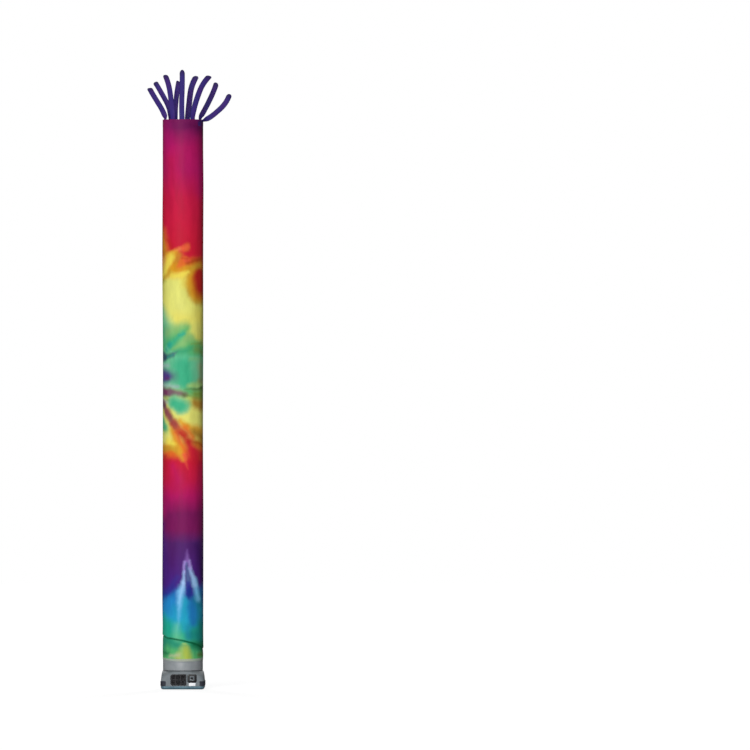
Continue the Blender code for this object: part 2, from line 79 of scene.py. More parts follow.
SNUG = COLLAR_RADIUS + GAP + CLOTH - TUBE_RADIUS
LOW_SECTIONS = np.array((
    # (height on the axis, lean, swell, sag)
    (HEM_HEIGHT, 0.004, SNUG, 0.018),
    (0.3640, 0.006, SNUG, 0.014),
    (0.4120, 0.020, -0.0012, 0.000),
    (0.4620, 0.052, -0.0014, -0.016),
    (0.5040, 0.073, -0.0018, -0.027),
    (0.5210, 0.076, -0.0034, -0.029),
    (0.5300, 0.076, -0.0052, -0.029),
    (0.5380, 0.076, -0.0012, -0.029),
    (0.5520, 0.076, 0.0016, -0.028),
    (0.5970, 0.070, 0.0014, -0.024),
    (0.6850, 0.048, 0.0004, -0.012),
    (0.8400, 0.016, 0.0000, 0.000),
    (1.2127, 0.000, 0.0000, 0.000),
))
RIM_BAND = 0.30
WAVES_START, WAVES_END = 0.5, 0.6
WAVES = (
    # (rounds, climbs, phase, depth)
    (2, 1.4, 0.5, 0.0020),
    (3, -2.3, 1.9, 0.0012),
    (1, 2.9, 2.7, 0.0016),
)

FOOT_WIDTH = 0.060
FOOT_FADES = 0.35
STREAMER_CLOTH = 0.0015
SEWN = 0.036
BEND_IN = 0.055
BEND_OUT = 0.012
CURL = 0.004
FACET_SHARE = np.cos(pi / 48)   # the solid tube's flats lie this much nearer its axis
INSIDE, OUTSIDE = -1, 1
STREAMERS = (
    # (number, rim angle, side, start below rim, length, lean low, lean middle, lean tip,
    #  lean away, facing, faces front by, slant, crown, width)
    (1, 208, INSIDE, 0.000, 0.405, -19, -32, -28, 9, 0.92, 0.16, -0.30, 0.10, 0.060),
    (2, 129.5, INSIDE, 0.000, 0.485, -2, -28, -31, 12, 0.92, 0.20, 0.00, 0.16, 0.058),
    (3, 240, INSIDE, 0.000, 0.515, -4, -7, -21, 8, 0.85, 0.25, -0.25, 0.20, 0.060),
    (4, 114, INSIDE, 0.000, 0.450, 0, 5, 11, 9, 0.85, 0.30, 0.35, 0.10, 0.058),
    (5, 268, INSIDE, 0.000, 0.560, -2, 2, -1, 5, 0.90, 0.50, 0.00, 0.45, 0.059),
    (6, 78, INSIDE, 0.000, 0.525, 7, 6, 28, 10, 0.90, 0.30, -0.25, 0.22, 0.066),
    (7, 300, INSIDE, 0.000, 0.545, 8, 19, 41, 12, 0.90, 0.25, 0.40, 0.12, 0.063),
    (8, 31, INSIDE, 0.000, 0.468, 31, 26, 18, 8, 0.92, 0.18, 0.20, 0.22, 0.061),
    (9, 327, OUTSIDE, 0.038, 0.485, 68, 49, 22, 4, 0.95, 0.25, 0.10, 0.26, 0.061),
)

GRILLE = dict(left=-0.138, right=0.042, low=0.044, high=0.171, round_left=0.026, round_right=0.007)
PANEL = dict(left=0.053, right=0.160, low=0.077, high=0.170, round_left=0.018, round_right=0.018)
LABEL = dict(left=0.071, right=0.146, low=0.0390, high=0.0730, round_left=0.003, round_right=0.003)
PANEL_DEPTH = 0.015
PROUD = 0.0035
FRAME_WIDTH, FRAME_HEIGHT = 0.049, 0.046
FRAME_PROUD = 0.0055
FRAME_DEPTH = 0.016
FRAME_BORDER = 0.008
FRAME_CORNER = 0.004
HOLE_CORNER = 0.001
ROCKER_SIDE_GAP = 0.0004
ROCKER_END_GAP = 0.0006
ROCKER_VALLEY = 0.30
ROCKER_REST = 8.0
LABEL_THICKNESS = 0.0010
PAD_REACH = 0.056
PAD_LOW, PAD_HIGH = 0.0400, 0.0930
PAD_THICKNESS = 0.0040
PAD_GROOVE = 0.0015
GLAND_X, GLAND_HEIGHT = 0.150, 0.075

# ---- sizes of the finer making -----------------------------------------------
TUBE_COLUMNS = 224
UV_OUTSIDE = 0.85           # share of the UV map's height that the tube's outside takes
CREASED_LOW, CREASED_HIGH = 0.488, 0.576    # the fold wanders between these heights
TAUT_LOW, TAUT_HIGH = 0.70, 6.30            # and between these the cloth is nearly smooth
FOOT_STEP, FOLD_STEP, TAUT_STEP, LINING_STEP, RIM_STEP = 0.008, 0.0024, 0.028, 0.14, 0.0065
FOLD_HEIGHT = 0.5300        # the slack fold above the hem, where it crosses the axis
FOLD_DEPTH, FOLD_HALF = 0.0030, 0.0045
FOLD_LINE = 0.0105          # half width of the shadow that it shows as
FOLD_FADES = 0.07           # above and below this its wandering has died out
FOLD_PATH = np.array((
    # (around, rise): how far the fold wanders above and below its height
    (-0.520, 0.000), (-0.270, -0.015), (-0.200, -0.031), (-0.130, -0.025), (-0.075, -0.021),
    (0.000, -0.010), (0.060, -0.004), (0.110, 0.002), (0.200, 0.008), (0.290, 0.002),
    (0.520, 0.000),
))
LIP_ABOVE, LIP_OUT, LIP_HALF = 0.017, 0.0016, 0.011
HEM_BAND = 0.030            # depth of the turned hem and of the turned rim
BAND_STEP, BAND_FADES = 0.0006, 0.004       # the doubled cloth stands out this much
PLEATS = (
    # (rounds, turn per metre, phase, depth, low, high, fade): small gathers and long flutes
    (21, 0.6, 0.3, 0.0007, 0.350, 0.500, 0.040),
    (34, -0.9, 1.4, 0.0005, 0.350, 0.460, 0.035),
    (9, 0.50, 1.1, 0.0007, 0.620, 6.300, 0.400),
    (14, -0.35, 2.0, 0.0004, 0.700, 6.300, 0.400),
    (24, 0.0, 0.8, 0.0005, 6.330, 6.425, 0.050),
)
CREASES = (
    # (around, height, to around, to height, half width, depth): soft troughs
    (0.10, 0.578, 0.34, 0.556, 0.010, 0.0010),
    (0.14, 0.640, 0.36, 0.600, 0.016, 0.0009),
    (-0.36, 0.650, -0.10, 0.625, 0.018, 0.0009),
    (-0.31, 0.497, -0.04, 0.478, 0.012, 0.0008),
    (0.12, 0.455, 0.30, 0.435, 0.012, 0.0008),
    (-0.24, 0.430, -0.12, 0.395, 0.010, 0.0007),
    (0.40, 0.570, 0.62, 0.600, 0.016, 0.0012),
    (-0.66, 0.600, -0.42, 0.645, 0.016, 0.0012),
    (0.20, 6.31, 0.24, 6.40, 0.010, 0.0007),
    (-0.10, 6.32, -0.12, 6.41, 0.010, 0.0007),
)

STITCH_LENGTH, STITCH_PITCH, STITCH_HALF = 0.0032, 0.0045, 0.00035
EDGE_ROW, BAND_ROW = 0.007, 0.004   # rows of stitches from the cloth's edge and the band's
SEAM_APART = 0.010          # between the two rows of stitches down the back seam
SEAM_STARTS, SEAM_ENDS = 0.012, 0.006


# ---- numbers -----------------------------------------------------------------

def smooth(t):
    """0 to 1 with level ends."""
    t = np.clip(t, 0.0, 1.0)
    return t * t * (3.0 - 2.0 * t)


def bell(t):
    """1 at 0, dying away on both sides."""
    return np.exp(-t ** 2)


def through(table, column, at):
    """A smooth curve through a column of a table whose first column is the place: cubic
    pieces whose slopes are the table's own, level beyond both ends."""
    place, value = table[:, 0], table[:, column]
    slope = np.gradient(value, place)
    slope[[0, -1]] = 0.0
    at = np.clip(at, place[0], place[-1])
    k = np.clip(np.searchsorted(place, at) - 1, 0, len(place) - 2)
    width = place[k + 1] - place[k]
    t = (at - place[k]) / width
    bend = smooth(t)
    return (value[k] * (1 - bend) + value[k + 1] * bend
            + width * t * (1 - t) * (slope[k] * (1 - t) - slope[k + 1] * t))


def spaced(low, high, step):
    """Even places from low towards high, about a step apart, without high itself."""
    return np.linspace(low, high, max(1, round((high - low) / step)), endpoint=False)


def full_turn(steps):
    """Even angles from 0, once round."""
    return np.arange(steps) / steps * 2 * pi


def circle(angle, radius=1.0):
    """Places (radius x cos, radius x sin) at the angles."""
    return radius * np.stack((np.cos(angle), np.sin(angle)), -1)


def unit(v):
    """Vectors divided by their lengths."""
    return v / np.linalg.norm(v, axis=-1, keepdims=True)


# ---- meshes ------------------------------------------------------------------

def grid_quads(rows, columns, wrap_rows=False, wrap_columns=False):
    """Corner numbers of the quads of a grid of points. A wrapped way joins its ends."""
    r, c = np.meshgrid(np.arange(rows if wrap_rows else rows - 1),
                       np.arange(columns if wrap_columns else columns - 1), indexing="ij")
    r2, c2 = (r + 1) % rows, (c + 1) % columns
    corners = (r * columns + c, r * columns + c2, r2 * columns + c2, r2 * columns + c)
    return np.stack(corners, -1).reshape(-1, 4)


def shaded(mesh, sharp_angle):
    """The mesh shaded smooth, but for edges that bend by more than the angle in degrees."""
    mesh.shade_smooth()
    mesh.set_sharp_from_angle(angle=radians(sharp_angle))
    return mesh


def new_mesh(name, points, faces, sharp_angle=35):
    """A closed mesh whose faces look outwards: where the volume that they enclose comes out
    negative, every face is turned round."""
    points = np.asarray(points, float).reshape(-1, 3)
    mesh = bpy.data.meshes.new(name)
    mesh.from_pydata(points.tolist(), [], [list(map(int, f)) for f in faces])
    bm = bmesh.new()
    bm.from_mesh(mesh)
    if bm.calc_volume(signed=True) < 0:
        bmesh.ops.reverse_faces(bm, faces=bm.faces)
        bm.to_mesh(mesh)
    bm.free()
    return shaded(mesh, sharp_angle)


def wrapped_mesh(name, rings, sharp_angle=35):
    """A hollow or ring-shaped body: a grid of rings in which the last joins the first."""
    rows, columns = np.shape(rings)[:2]
    return new_mesh(name, rings, grid_quads(rows, columns, True, True), sharp_angle)


def capped_mesh(name, rings, sharp_angle=35):
    """A solid body: a grid of rings whose two ends are closed by flat faces."""
    rows, columns = np.shape(rings)[:2]
    first = np.arange(columns)
    ends = [first[::-1], first + (rows - 1) * columns]
    return new_mesh(name, rings, [*grid_quads(rows, columns, False, True), *ends], sharp_angle)


def closed_sheet(name, face, back):
    """A thin sheet closed all round: a grid for its face, a grid for its back, and a strip
    of quads between their edges. Both grids have the same rows and columns."""
    rows, columns = face.shape[:2]
    count = rows * columns
    number = np.arange(count).reshape(rows, columns)
    edge = np.concatenate((number[0, :-1], number[:-1, -1], number[-1, :0:-1], number[:0:-1, 0]))
    after = np.roll(edge, -1)
    quads = grid_quads(rows, columns)
    faces = np.concatenate((quads, quads[:, ::-1] + count,
                            np.stack((after, edge, edge + count, after + count), -1)))
    points = np.concatenate((face.reshape(-1, 3), back.reshape(-1, 3)))
    return new_mesh(name, points, faces, sharp_angle=60)


def turned_mesh(name, section, steps):
    """A turned body: a closed section of (radius, height) carried round the Z axis."""
    turn = full_turn(steps)
    rings = np.stack((section[:, :1] * np.cos(turn), section[:, :1] * np.sin(turn),
                      np.repeat(section[:, 1:], steps, 1)), -1)
    return wrapped_mesh(name, rings)


SHORT_EDGE = 0.45           # a rounded corner takes up no more of an edge than this share
FLAT_WITHIN, SHARP_OVER = radians(0.5), radians(30)     # how a solid part's edges are told


def eased_corners(section, radius, steps=3):
    """A closed outline with its corners rounded: each corner becomes a short curve between
    the points one radius before and after it, or less where an edge is short."""
    section = np.asarray(section, float)
    before, after = np.roll(section, 1, 0) - section, np.roll(section, -1, 0) - section
    reach = [np.minimum(radius, SHORT_EDGE * np.linalg.norm(e, axis=1))[:, None] * unit(e)
             for e in (before, after)]
    t = (np.arange(steps + 1) / steps)[None, :, None]
    start, end = section + reach[0], section + reach[1]
    curve = ((1 - t) ** 2 * start[:, None] + 2 * t * (1 - t) * section[:, None]
             + t ** 2 * end[:, None])
    return curve.reshape(-1, section.shape[1])


def plate_outline(left, right, low, high, round_left, round_right, grow=0.0, steps=8):
    """An upright plate's outline in x and z, anticlockwise, with an arc at each corner whose
    radius changes with grow while its middle stays."""
    turn = np.radians(np.linspace(0, 90, steps + 1))
    middles = ((right - round_right, low + round_right, round_right),
               (right - round_right, high - round_right, round_right),
               (left + round_left, high - round_left, round_left),
               (left + round_left, low + round_left, round_left))
    return np.concatenate([(x, z) + circle(turn + (quarter - 1) * pi / 2, radius + grow)
                           for quarter, (x, z, radius) in enumerate(middles)])


def standing(outline, y):
    """An outline in x and z set upright at a depth y."""
    return np.insert(outline, 1, y, axis=1)


def eased_rings(front, edge, sizes, turn):
    """Rings of an outline at the angles of a quarter circle, over which it shrinks towards
    the front, or grows where the edge is negative, as a hole's does."""
    return [standing(plate_outline(grow=-edge * (1 - np.sin(t)), **sizes),
                     front + abs(edge) * (1 - np.cos(t))) for t in turn]


def plate_rings(front, depth, edge, sizes):
    """Rings of a plate from its front face, over a rounded front edge, to its back."""
    rings = eased_rings(front, edge, sizes, np.linspace(0, pi / 2, 4))
    return rings + [standing(plate_outline(**sizes), front + depth)]


def give_values(mesh, **values):
    """Named values at each point of a mesh, for its material to read."""
    for name, value in values.items():
        layer = mesh.attributes.new(name, "FLOAT", "POINT")
        layer.data.foreach_set("value", np.asarray(value, np.float32).ravel())


def placed(name, data):
    """A new object in the scene."""
    ob = bpy.data.objects.new(name, data)
    bpy.context.scene.collection.objects.link(ob)
    return ob


def add_piece(mesh, body, slot, material, *nodes):
    """A finished piece, called as its mesh is, that rides on a body and stands for the named
    solid parts."""
    ob = placed(mesh.name, mesh)
    mesh.materials.clear()
    mesh.materials.append(material)
    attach(ob, body)
    if nodes:
        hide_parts(*nodes)
    return ob


def merged_copy(name, node, edge):
    """A copy of a solid part with its loose triangles merged, flat faces joined and every
    sharp edge rounded."""
    bm = bmesh.new()
    bm.from_mesh(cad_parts[node].data)
    bmesh.ops.remove_doubles(bm, verts=bm.verts, dist=1e-6)
    bmesh.ops.dissolve_limit(bm, angle_limit=FLAT_WITHIN, verts=bm.verts, edges=bm.edges)
    sharp = [e for e in bm.edges if len(e.link_faces) == 2 and e.calc_face_angle() > SHARP_OVER]
    bmesh.ops.bevel(bm, geom=sharp, offset=edge, segments=2, affect="EDGES", profile=0.5,
                    clamp_overlap=True)
    bmesh.ops.triangulate(bm, faces=[f for f in bm.faces if len(f.verts) > 4])
    mesh = bpy.data.meshes.new(name)
    bm.to_mesh(mesh)
    bm.free()
    return shaded(mesh, sharp_angle=35)


def with_holes(mesh, *cutters):
    """The mesh with the closed cutters taken out of it, under the same name."""
    name = mesh.name
    ob = placed(name, mesh)
    tools = [placed(cutter.name, cutter) for cutter in cutters]
    for tool in tools:
        modifier = ob.modifiers.new(tool.name, "BOOLEAN")
        modifier.operation, modifier.solver, modifier.object = "DIFFERENCE", "EXACT", tool
    bpy.context.view_layer.update()
    cut = bpy.data.meshes.new_from_object(ob.evaluated_get(bpy.context.evaluated_depsgraph_get()))
    for extra in (ob, *tools):
        bpy.data.objects.remove(extra)
    bpy.data.meshes.remove(mesh)
    cut.name = name
    return shaded(cut, sharp_angle=30)


# ---- the tube ----------------------------------------------------------------

def from_line(around, height, s0, h0, s1, h1):
    """Distance of each place from the line between two places, and its share along it."""
    run = np.array((s1 - s0, h1 - h0))
    share = ((around - s0) * run[0] + (height - h0) * run[1]) / (run @ run)
    held = np.clip(share, 0, 1)
    return np.hypot(around - s0 - held * run[0], height - h0 - held * run[1]), share


def above_fold(turn, height):
    """Height above the wandering fold. Away from the fold its wandering dies out."""
    near = bell((height - FOLD_HEIGHT) / FOLD_FADES)
    return height - FOLD_HEIGHT - near * through(FOLD_PATH, 1, turn * TUBE_RADIUS)


def tube_point(turn, height, inward=0.0, detail=1.0):
    """Points of the tube's surface. turn is the angle from the front towards +X and height
    is where the section crosses the axis. The radius is the tube's own plus the low
    sections' swell, the long waves and, times detail, the hem, fold, pleats and creases.
    Each section leans to the right by its lean, and the hem sags at the front."""
    angle = turn - pi / 2
    climb = (height - HEM_HEIGHT) / TUBE_LENGTH
    waves = sum(d * np.sin(n * angle + 2 * pi * c * climb + p) for n, c, p, d in WAVES)
    waves = waves * smooth((height - COLLAR_TOP) / WAVES_START) \
        * smooth((TOP_HEIGHT - RIM_BAND - height) / WAVES_END)
    above = above_fold(turn, height)
    fine = LIP_OUT * bell((above - LIP_ABOVE) / LIP_HALF) - FOLD_DEPTH * bell(above / FOLD_HALF)
    for rounds, climbs, phase, depth, low, high, fade in PLEATS:
        held = smooth((height - low) / fade) * smooth((high - height) / fade)
        fine = fine + depth * held * (1 + np.sin(rounds * turn + climbs * 2 * pi * height + phase))
    for *line, half, depth in CREASES:
        distance, share = from_line(turn * TUBE_RADIUS, height, *line)
        taper = smooth(share * 4) * smooth((1 - share) * 4)
        fine = fine - depth * taper * bell(distance / half)
    band = smooth((HEM_HEIGHT + HEM_BAND - height) / BAND_FADES) \
        + smooth((height - TOP_HEIGHT + HEM_BAND) / BAND_FADES)
    fine = fine + BAND_STEP * band
    swell = through(LOW_SECTIONS, 2, FOLD_HEIGHT + above)
    radius = TUBE_RADIUS + swell + waves + fine * detail - inward
    z = (height - through(LOW_SECTIONS, 1, height) * np.sin(turn)
         - through(LOW_SECTIONS, 3, height) * np.cos(turn))
    return np.stack((radius * np.sin(turn), -radius * np.cos(turn), z), -1)


def tube_rows():
    """The rows of the tube's closed section: up its outside, over the rounded rim, down its
    inside and round the hem. Each row has a height, how far inward it lies, how far its
    rounded edge lifts it, and how much of the fine making it shows. The inside has the same
    rows as the outside wherever the cloth is creased, so the two never cross."""
    foot = np.concatenate((spaced(HEM_HEIGHT, CREASED_LOW, FOOT_STEP),
                           spaced(CREASED_LOW, CREASED_HIGH, FOLD_STEP),
                           spaced(CREASED_HIGH, TAUT_LOW, FOOT_STEP)))
    top = np.append(spaced(TAUT_HIGH, TOP_HEIGHT, RIM_STEP), TOP_HEIGHT)
    outside = np.concatenate((foot, spaced(TAUT_LOW, TAUT_HIGH, TAUT_STEP), top))
    inside = np.concatenate((foot, spaced(TAUT_LOW, TAUT_HIGH, LINING_STEP), top))[::-1]
    lip = np.radians((36, 72, 108, 144))        # round the half circle of the cloth's edge
    flat = np.ones(len(lip))
    none, all_in = np.zeros(len(outside)), np.full(len(inside), CLOTH)
    height = np.concatenate((outside, flat * TOP_HEIGHT, inside, flat * HEM_HEIGHT))
    inward = np.concatenate((none, CLOTH / 2 * (1 - np.cos(lip)),
                             all_in, CLOTH / 2 * (1 + np.cos(lip))))
    lift = np.concatenate((none, CLOTH / 2 * np.sin(lip), 0 * all_in, -CLOTH / 2 * np.sin(lip)))
    plain = (inward == CLOTH) & (height > TAUT_LOW) & (height < TAUT_HIGH)
    return height, inward, lift, np.where(plain, 0.0, 1.0), len(outside) + 1


def round_tube(count):
    """Even angles round the tube, from the middle of its back."""
    return (np.arange(count) / count - 0.5) * 2 * pi


def tube_sheet():
    """The tube as one closed sheet. Its UV map lays the outside flat below the inside, and
    two values at each point say how much of it is lining and how near the fold it lies; the
    latter sets the painted shade along the fold."""
    height, inward, lift, detail, rim_row = tube_rows()
    turn, heights = np.meshgrid(round_tube(TUBE_COLUMNS), height)
    points = tube_point(turn, heights, inward[:, None], detail[:, None])
    points[..., 2] += lift[:, None]
    mesh = wrapped_mesh("printed_tube", points, sharp_angle=60)
    give_values(mesh, lining=np.repeat(inward > CLOTH / 2, TUBE_COLUMNS),
                fold=bell(above_fold(turn, heights) / FOLD_LINE))

    run = np.hypot(np.diff(height + lift, append=HEM_HEIGHT), np.diff(inward, append=0.0))
    up = np.append(0.0, np.cumsum(run))
    up = np.interp(up, (0.0, up[rim_row], up[-1]), (0.0, UV_OUTSIDE, 1.0))
    corner = np.empty(len(mesh.loops), int)
    mesh.loops.foreach_get("vertex_index", corner)
    face_row, face_column = np.divmod(np.arange(len(corner)) // 4, TUBE_COLUMNS)
    row, column = np.divmod(corner, TUBE_COLUMNS)
    # where a face closes the ring, its far corners go on past the last row or column
    row = np.where(row < face_row, len(height), row)
    column = np.where(column < face_column, TUBE_COLUMNS, column)
    layout = mesh.uv_layers.new(name="OFBake")
    layout.data.foreach_set("uv", np.stack((column / TUBE_COLUMNS, up[row]), -1).ravel())
    return mesh


# ---- the stitches ------------------------------------------------------------

def stitch_mesh(name, lines):
    """Sewn stitches: one short round-ended thread at each place of the lines. A line is
    places, directions along the seam and directions out of the cloth."""
    at, along, out = (np.concatenate(part)[:, None] for part in zip(*lines))
    side = np.cross(out, along)
    # four square rings: where they lie along a thread, and how thick it is there
    place = np.repeat(np.array((-0.5, -0.3, 0.3, 0.5)) * STITCH_LENGTH, 4)
    thick = np.repeat(np.array((0.35, 1.0, 1.0, 0.35)) * STITCH_HALF, 4)
    turn = np.tile(np.arange(4) * pi / 2 + pi / 4, 4)
    shape = np.stack((place, thick * np.cos(turn), thick * np.sin(turn)), -1)[None]
    points = at + shape[..., :1] * along + shape[..., 1:2] * side + shape[..., 2:] * out
    one = np.concatenate((grid_quads(4, 4, False, True), ((3, 2, 1, 0), (12, 13, 14, 15))))
    faces = (one[None] + 16 * np.arange(len(at))[:, None, None]).reshape(-1, 4)
    return new_mesh(name, points, faces, sharp_angle=80)


def stitch_line(points, out):
    """Stitches at a row of points, each turned along the row."""
    along = unit(np.gradient(points, axis=0))
    return points + out * 0.5 * STITCH_HALF, along, out


def tube_stitches(turn, height):
    """Stitches on the tube's outside at a row of angles and heights."""
    out = np.stack((np.sin(turn), -np.cos(turn), np.zeros(len(turn))), -1)
    return stitch_line(tube_point(turn, height), out)


def ring_stitches(height):
    """A row of stitches round the tube at one height."""
    turn = round_tube(round(ROUND_THE_TUBE / STITCH_PITCH))
    return tube_stitches(turn, np.full(len(turn), height))


def seam_stitches(beside):
    """A row of stitches down the back of the tube, beside the seam."""
    height = np.arange(HEM_HEIGHT + SEAM_STARTS, TOP_HEIGHT - SEAM_ENDS, STITCH_PITCH)
    return tube_stitches(np.full(len(height), pi + beside / TUBE_RADIUS), height)


# ---- the streamers -----------------------------------------------------------

STREAMER_STEPS = 88
SEWN_STEPS = 6
STREAMER_ACROSS = 12
VISIBLE_CLOTH = 0.0009
RIPPLES = (2.3, 0.0022)     # how many along a streamer, and their height at its edges
RIPPLE_LAG = 1.7            # by which each streamer's ripples lag behind the last one's
TIP_CORNER = 0.18           # share of the width by which a tip's corners are cut round
CORNER_FROM = 0.55          # share of the half width at which a tip's corner begins


def streamer_frame(number, degrees, side, drop, length, low, middle, tip, away,
                   facing, faces_by, slant, crown, width):
    """A streamer's middle surface and its normals, as grids of steps along by steps across.
    The path starts straight up at the rim. Its lean turns from low to middle to tip, and
    its points are the running sum of short steps along that direction. Across, it starts
    along the rim and turns to face the front."""
    angle = radians(degrees)
    if side == INSIDE:
        radius = (TUBE_RADIUS - CLOTH) * FACET_SHARE - GAP - STREAMER_CLOTH / 2
        bend = BEND_IN
    else:
        radius = TUBE_RADIUS + 1.5 * GAP + STREAMER_CLOTH / 2
        bend = BEND_OUT
    outward = np.array((np.cos(angle), np.sin(angle), 0.0))
    up = np.array((0.0, 0.0, 1.0))
    foot = outward * radius + up * (TOP_HEIGHT - drop)
    step = length / STREAMER_STEPS
    along = (np.arange(STREAMER_STEPS) + 0.5) * step
    share = along / length
    lean = np.where(share < 0.5, low + (middle - low) * smooth(share * 2),
                    middle + (tip - middle) * smooth(share * 2 - 1))
    lean = np.radians(lean) * smooth(along / bend)
    back = np.radians(away) * smooth(along / (3 * BEND_IN)) * (-1 if np.sin(angle) < 0 else 1)
    steps = unit(np.stack((np.sin(lean), np.sin(back), np.cos(lean) * np.cos(back)), -1))
    sewn = np.linspace(-SEWN, 0.0, SEWN_STEPS + 1)
    points = np.concatenate((foot + up * sewn[:, None], foot + np.cumsum(steps * step, axis=0)))
    heading = np.concatenate((np.tile(up, (SEWN_STEPS + 1, 1)), steps))
    share = np.concatenate((np.zeros(SEWN_STEPS + 1), (along + step / 2) / length))[:, None]

    tangent = np.array((-np.sin(angle), np.cos(angle), 0.0))
    to_front = np.array((1.0 if tangent[0] > 0 else -1.0, 0.0, 0.0))
    turn = facing * smooth(share / faces_by)
    across = tangent * (1 - turn) + to_front * turn
    across = unit(across - heading * np.sum(across * heading, -1, keepdims=True))
    normal = np.cross(across, heading)
    half = (FOOT_WIDTH + (width - FOOT_WIDTH) * smooth(share / FOOT_FADES)) / 2
    u = np.linspace(-1, 1, STREAMER_ACROSS + 1)[None, :]
    hollow = half ** 2 / (2 * TUBE_RADIUS) * (1 - share) + CURL * share
    waves, ripple = RIPPLES
    phase = 2 * pi * waves * share + RIPPLE_LAG * number + 0.8 * u
    flutter = ripple * np.sin(phase) * u ** 2 * smooth(share * 2)
    corner = TIP_CORNER * np.clip((np.abs(u) - CORNER_FROM) / (1 - CORNER_FROM), 0, 1) ** 2
    end = (slant * u / 2 - crown * u ** 2 - corner) * width * smooth(share * 3 - 2)
    grid = (points[:, None] + across[:, None] * (u * half)[..., None]
            + heading[:, None] * end[..., None]
            + normal[:, None] * (flutter - hollow * u ** 2)[..., None])
    return grid, np.broadcast_to(normal[:, None], grid.shape)


def make_streamers(material):
    """The nine streamers, each a closed thin sheet, and the thread that holds the one
    which is sewn on outside the rim."""
    thread = []
    for row in STREAMERS:
        number, side, length, width = row[0], row[2], row[4], row[-1]
        grid, normal = streamer_frame(*row)
        half = normal * VISIBLE_CLOTH / 2
        mesh = closed_sheet(f"streamer_cloth_{number}", grid + half, grid - half)
        ob = add_piece(mesh, "dancer", "purple_cloth", material, f"streamer_{number}")
        along = np.append(np.linspace(-SEWN, 0, SEWN_STEPS + 1),
                          np.linspace(0, length, STREAMER_STEPS + 1)[1:])
        along = np.tile(np.repeat(along, STREAMER_ACROSS + 1), 2)
        across = np.linspace(-0.5, 0.5, STREAMER_ACROSS + 1) * width
        give_values(mesh, along=along, across=np.resize(across, len(along)),
                    reach=np.clip(along / length, 0, 1))
        if side == OUTSIDE:
            thread += [stitch_line(grid[step] + half[step], normal[step])
                       for step in (1, SEWN_STEPS - 1)]
    return thread


# ---- the blower --------------------------------------------------------------

BLOWER_SIDES = 192
SHOULDER_ROWS = 30
JOINT_GROOVE, JOINT_HALF = 0.0010, 0.0009    # the moulding joint down the housing's front
JOINT_AT = 0.0475
JOINT_CLEAR = 0.006         # how far in front of the housing its cutter starts
SHELL_EDGE = 0.0015         # rounded edges of the housing at its joints
LEDGE_LAP = 0.001           # how far the round ledge reaches in past the collar's bore
WINDOW_FRONT, WINDOW_BACK = -0.30, -0.21    # depths between which the windows are cut
ROLLED = 0.0007             # radius of the tray's rolled rim


def oblong_ring(half_x, half_y, radius, height):
    """A level outline with arcs at its corners: four corner middles, each plus the radius
    at the angle. With the radius equal to both halves it is a circle."""
    angle = (np.arange(BLOWER_SIDES) + 0.5) / BLOWER_SIDES * 2 * pi
    x = (half_x - radius) * np.sign(np.cos(angle)) + radius * np.cos(angle)
    y = (half_y - radius) * np.sign(np.sin(angle)) + radius * np.sin(angle)
    return np.stack((x, y, np.full(BLOWER_SIDES, height)), -1)


def square_ring(inset, height):
    """The blower's outline at its foot, drawn in by an inset."""
    return oblong_ring(BASE_HALF - inset, BASE_HALF - inset, CORNER_RADIUS - inset, height)


def quarter_round(share):
    """0 to 1 along a quarter of a circle, level at the start and upright at the end."""
    share = np.clip(share, 0.0, 1.0)
    return 1.0 - (1.0 - share * share) ** 0.5


def housing_rings(inset):
    """Sections of the housing from its foot to its round top. Up the shoulder the sides and
    the front draw in by a quarter circle, and the corners open out to the round ledge."""
    draw_in = BASE_HALF - SHOULDER_RADIUS
    foot = TRAY_TOP + GAP
    edge = 0.0 if inset else SHELL_EDGE
    rings = [square_ring(inset + edge, foot)]
    rings += [square_ring(inset, z) for z in np.linspace(foot + edge, SIDE_SHOULDER, 5)[:-1]]
    for k in range(SHOULDER_ROWS + 1):
        rise = np.sin(k / SHOULDER_ROWS * pi / 2)
        height = SIDE_SHOULDER + (BASE_TOP - SIDE_SHOULDER) * rise
        front = (height - FRONT_SHOULDER) / (BASE_TOP - FRONT_SHOULDER)
        half_x = BASE_HALF - draw_in * (quarter_round(rise) + rise) / 2
        half_y = BASE_HALF - draw_in * quarter_round(front)
        radius = CORNER_RADIUS + (min(half_x, half_y) - CORNER_RADIUS) * rise ** SHOULDER_TURN
        rings.append(oblong_ring(half_x - inset, half_y - inset, radius - inset,
                                 height - inset * rise))
    return rings


def housing_mesh():
    """The moulded housing: outside, round ledge and inside as one wrapped wall, with windows
    for the grille and the switch panel and a fine joint down its front."""
    outer, inner = housing_rings(0.0), housing_rings(HOUSING_WALL)[::-1]
    ledge = COLLAR_RADIUS - COLLAR_WALL - LEDGE_LAP
    rim = [oblong_ring(ledge, ledge, ledge, z) for z in (BASE_TOP, BASE_TOP - HOUSING_WALL)]
    mesh = wrapped_mesh("blower_housing", [*outer, *rim, *inner], sharp_angle=40)
    cutters = [capped_mesh(name, [standing(plate_outline(grow=GAP, **sizes), y)
                                  for y in (WINDOW_FRONT, WINDOW_BACK)])
               for name, sizes in (("grille window", GRILLE), ("panel window", PANEL))]
    rings = []
    for ring in outer[1:-1]:
        face = ring[ring[:, 1] < 0]
        face = face[np.argsort(face[:, 0])]
        y = np.interp(JOINT_AT, face[:, 0], face[:, 1])
        across = JOINT_AT + np.array((-1, 1, 1, -1)) * JOINT_HALF
        deep = y + np.array((-JOINT_CLEAR, -JOINT_CLEAR, JOINT_GROOVE, JOINT_GROOVE))
        rings.append(np.stack((across, deep, ring[:4, 2]), -1))
    return with_holes(mesh, *cutters, capped_mesh("joint", rings))


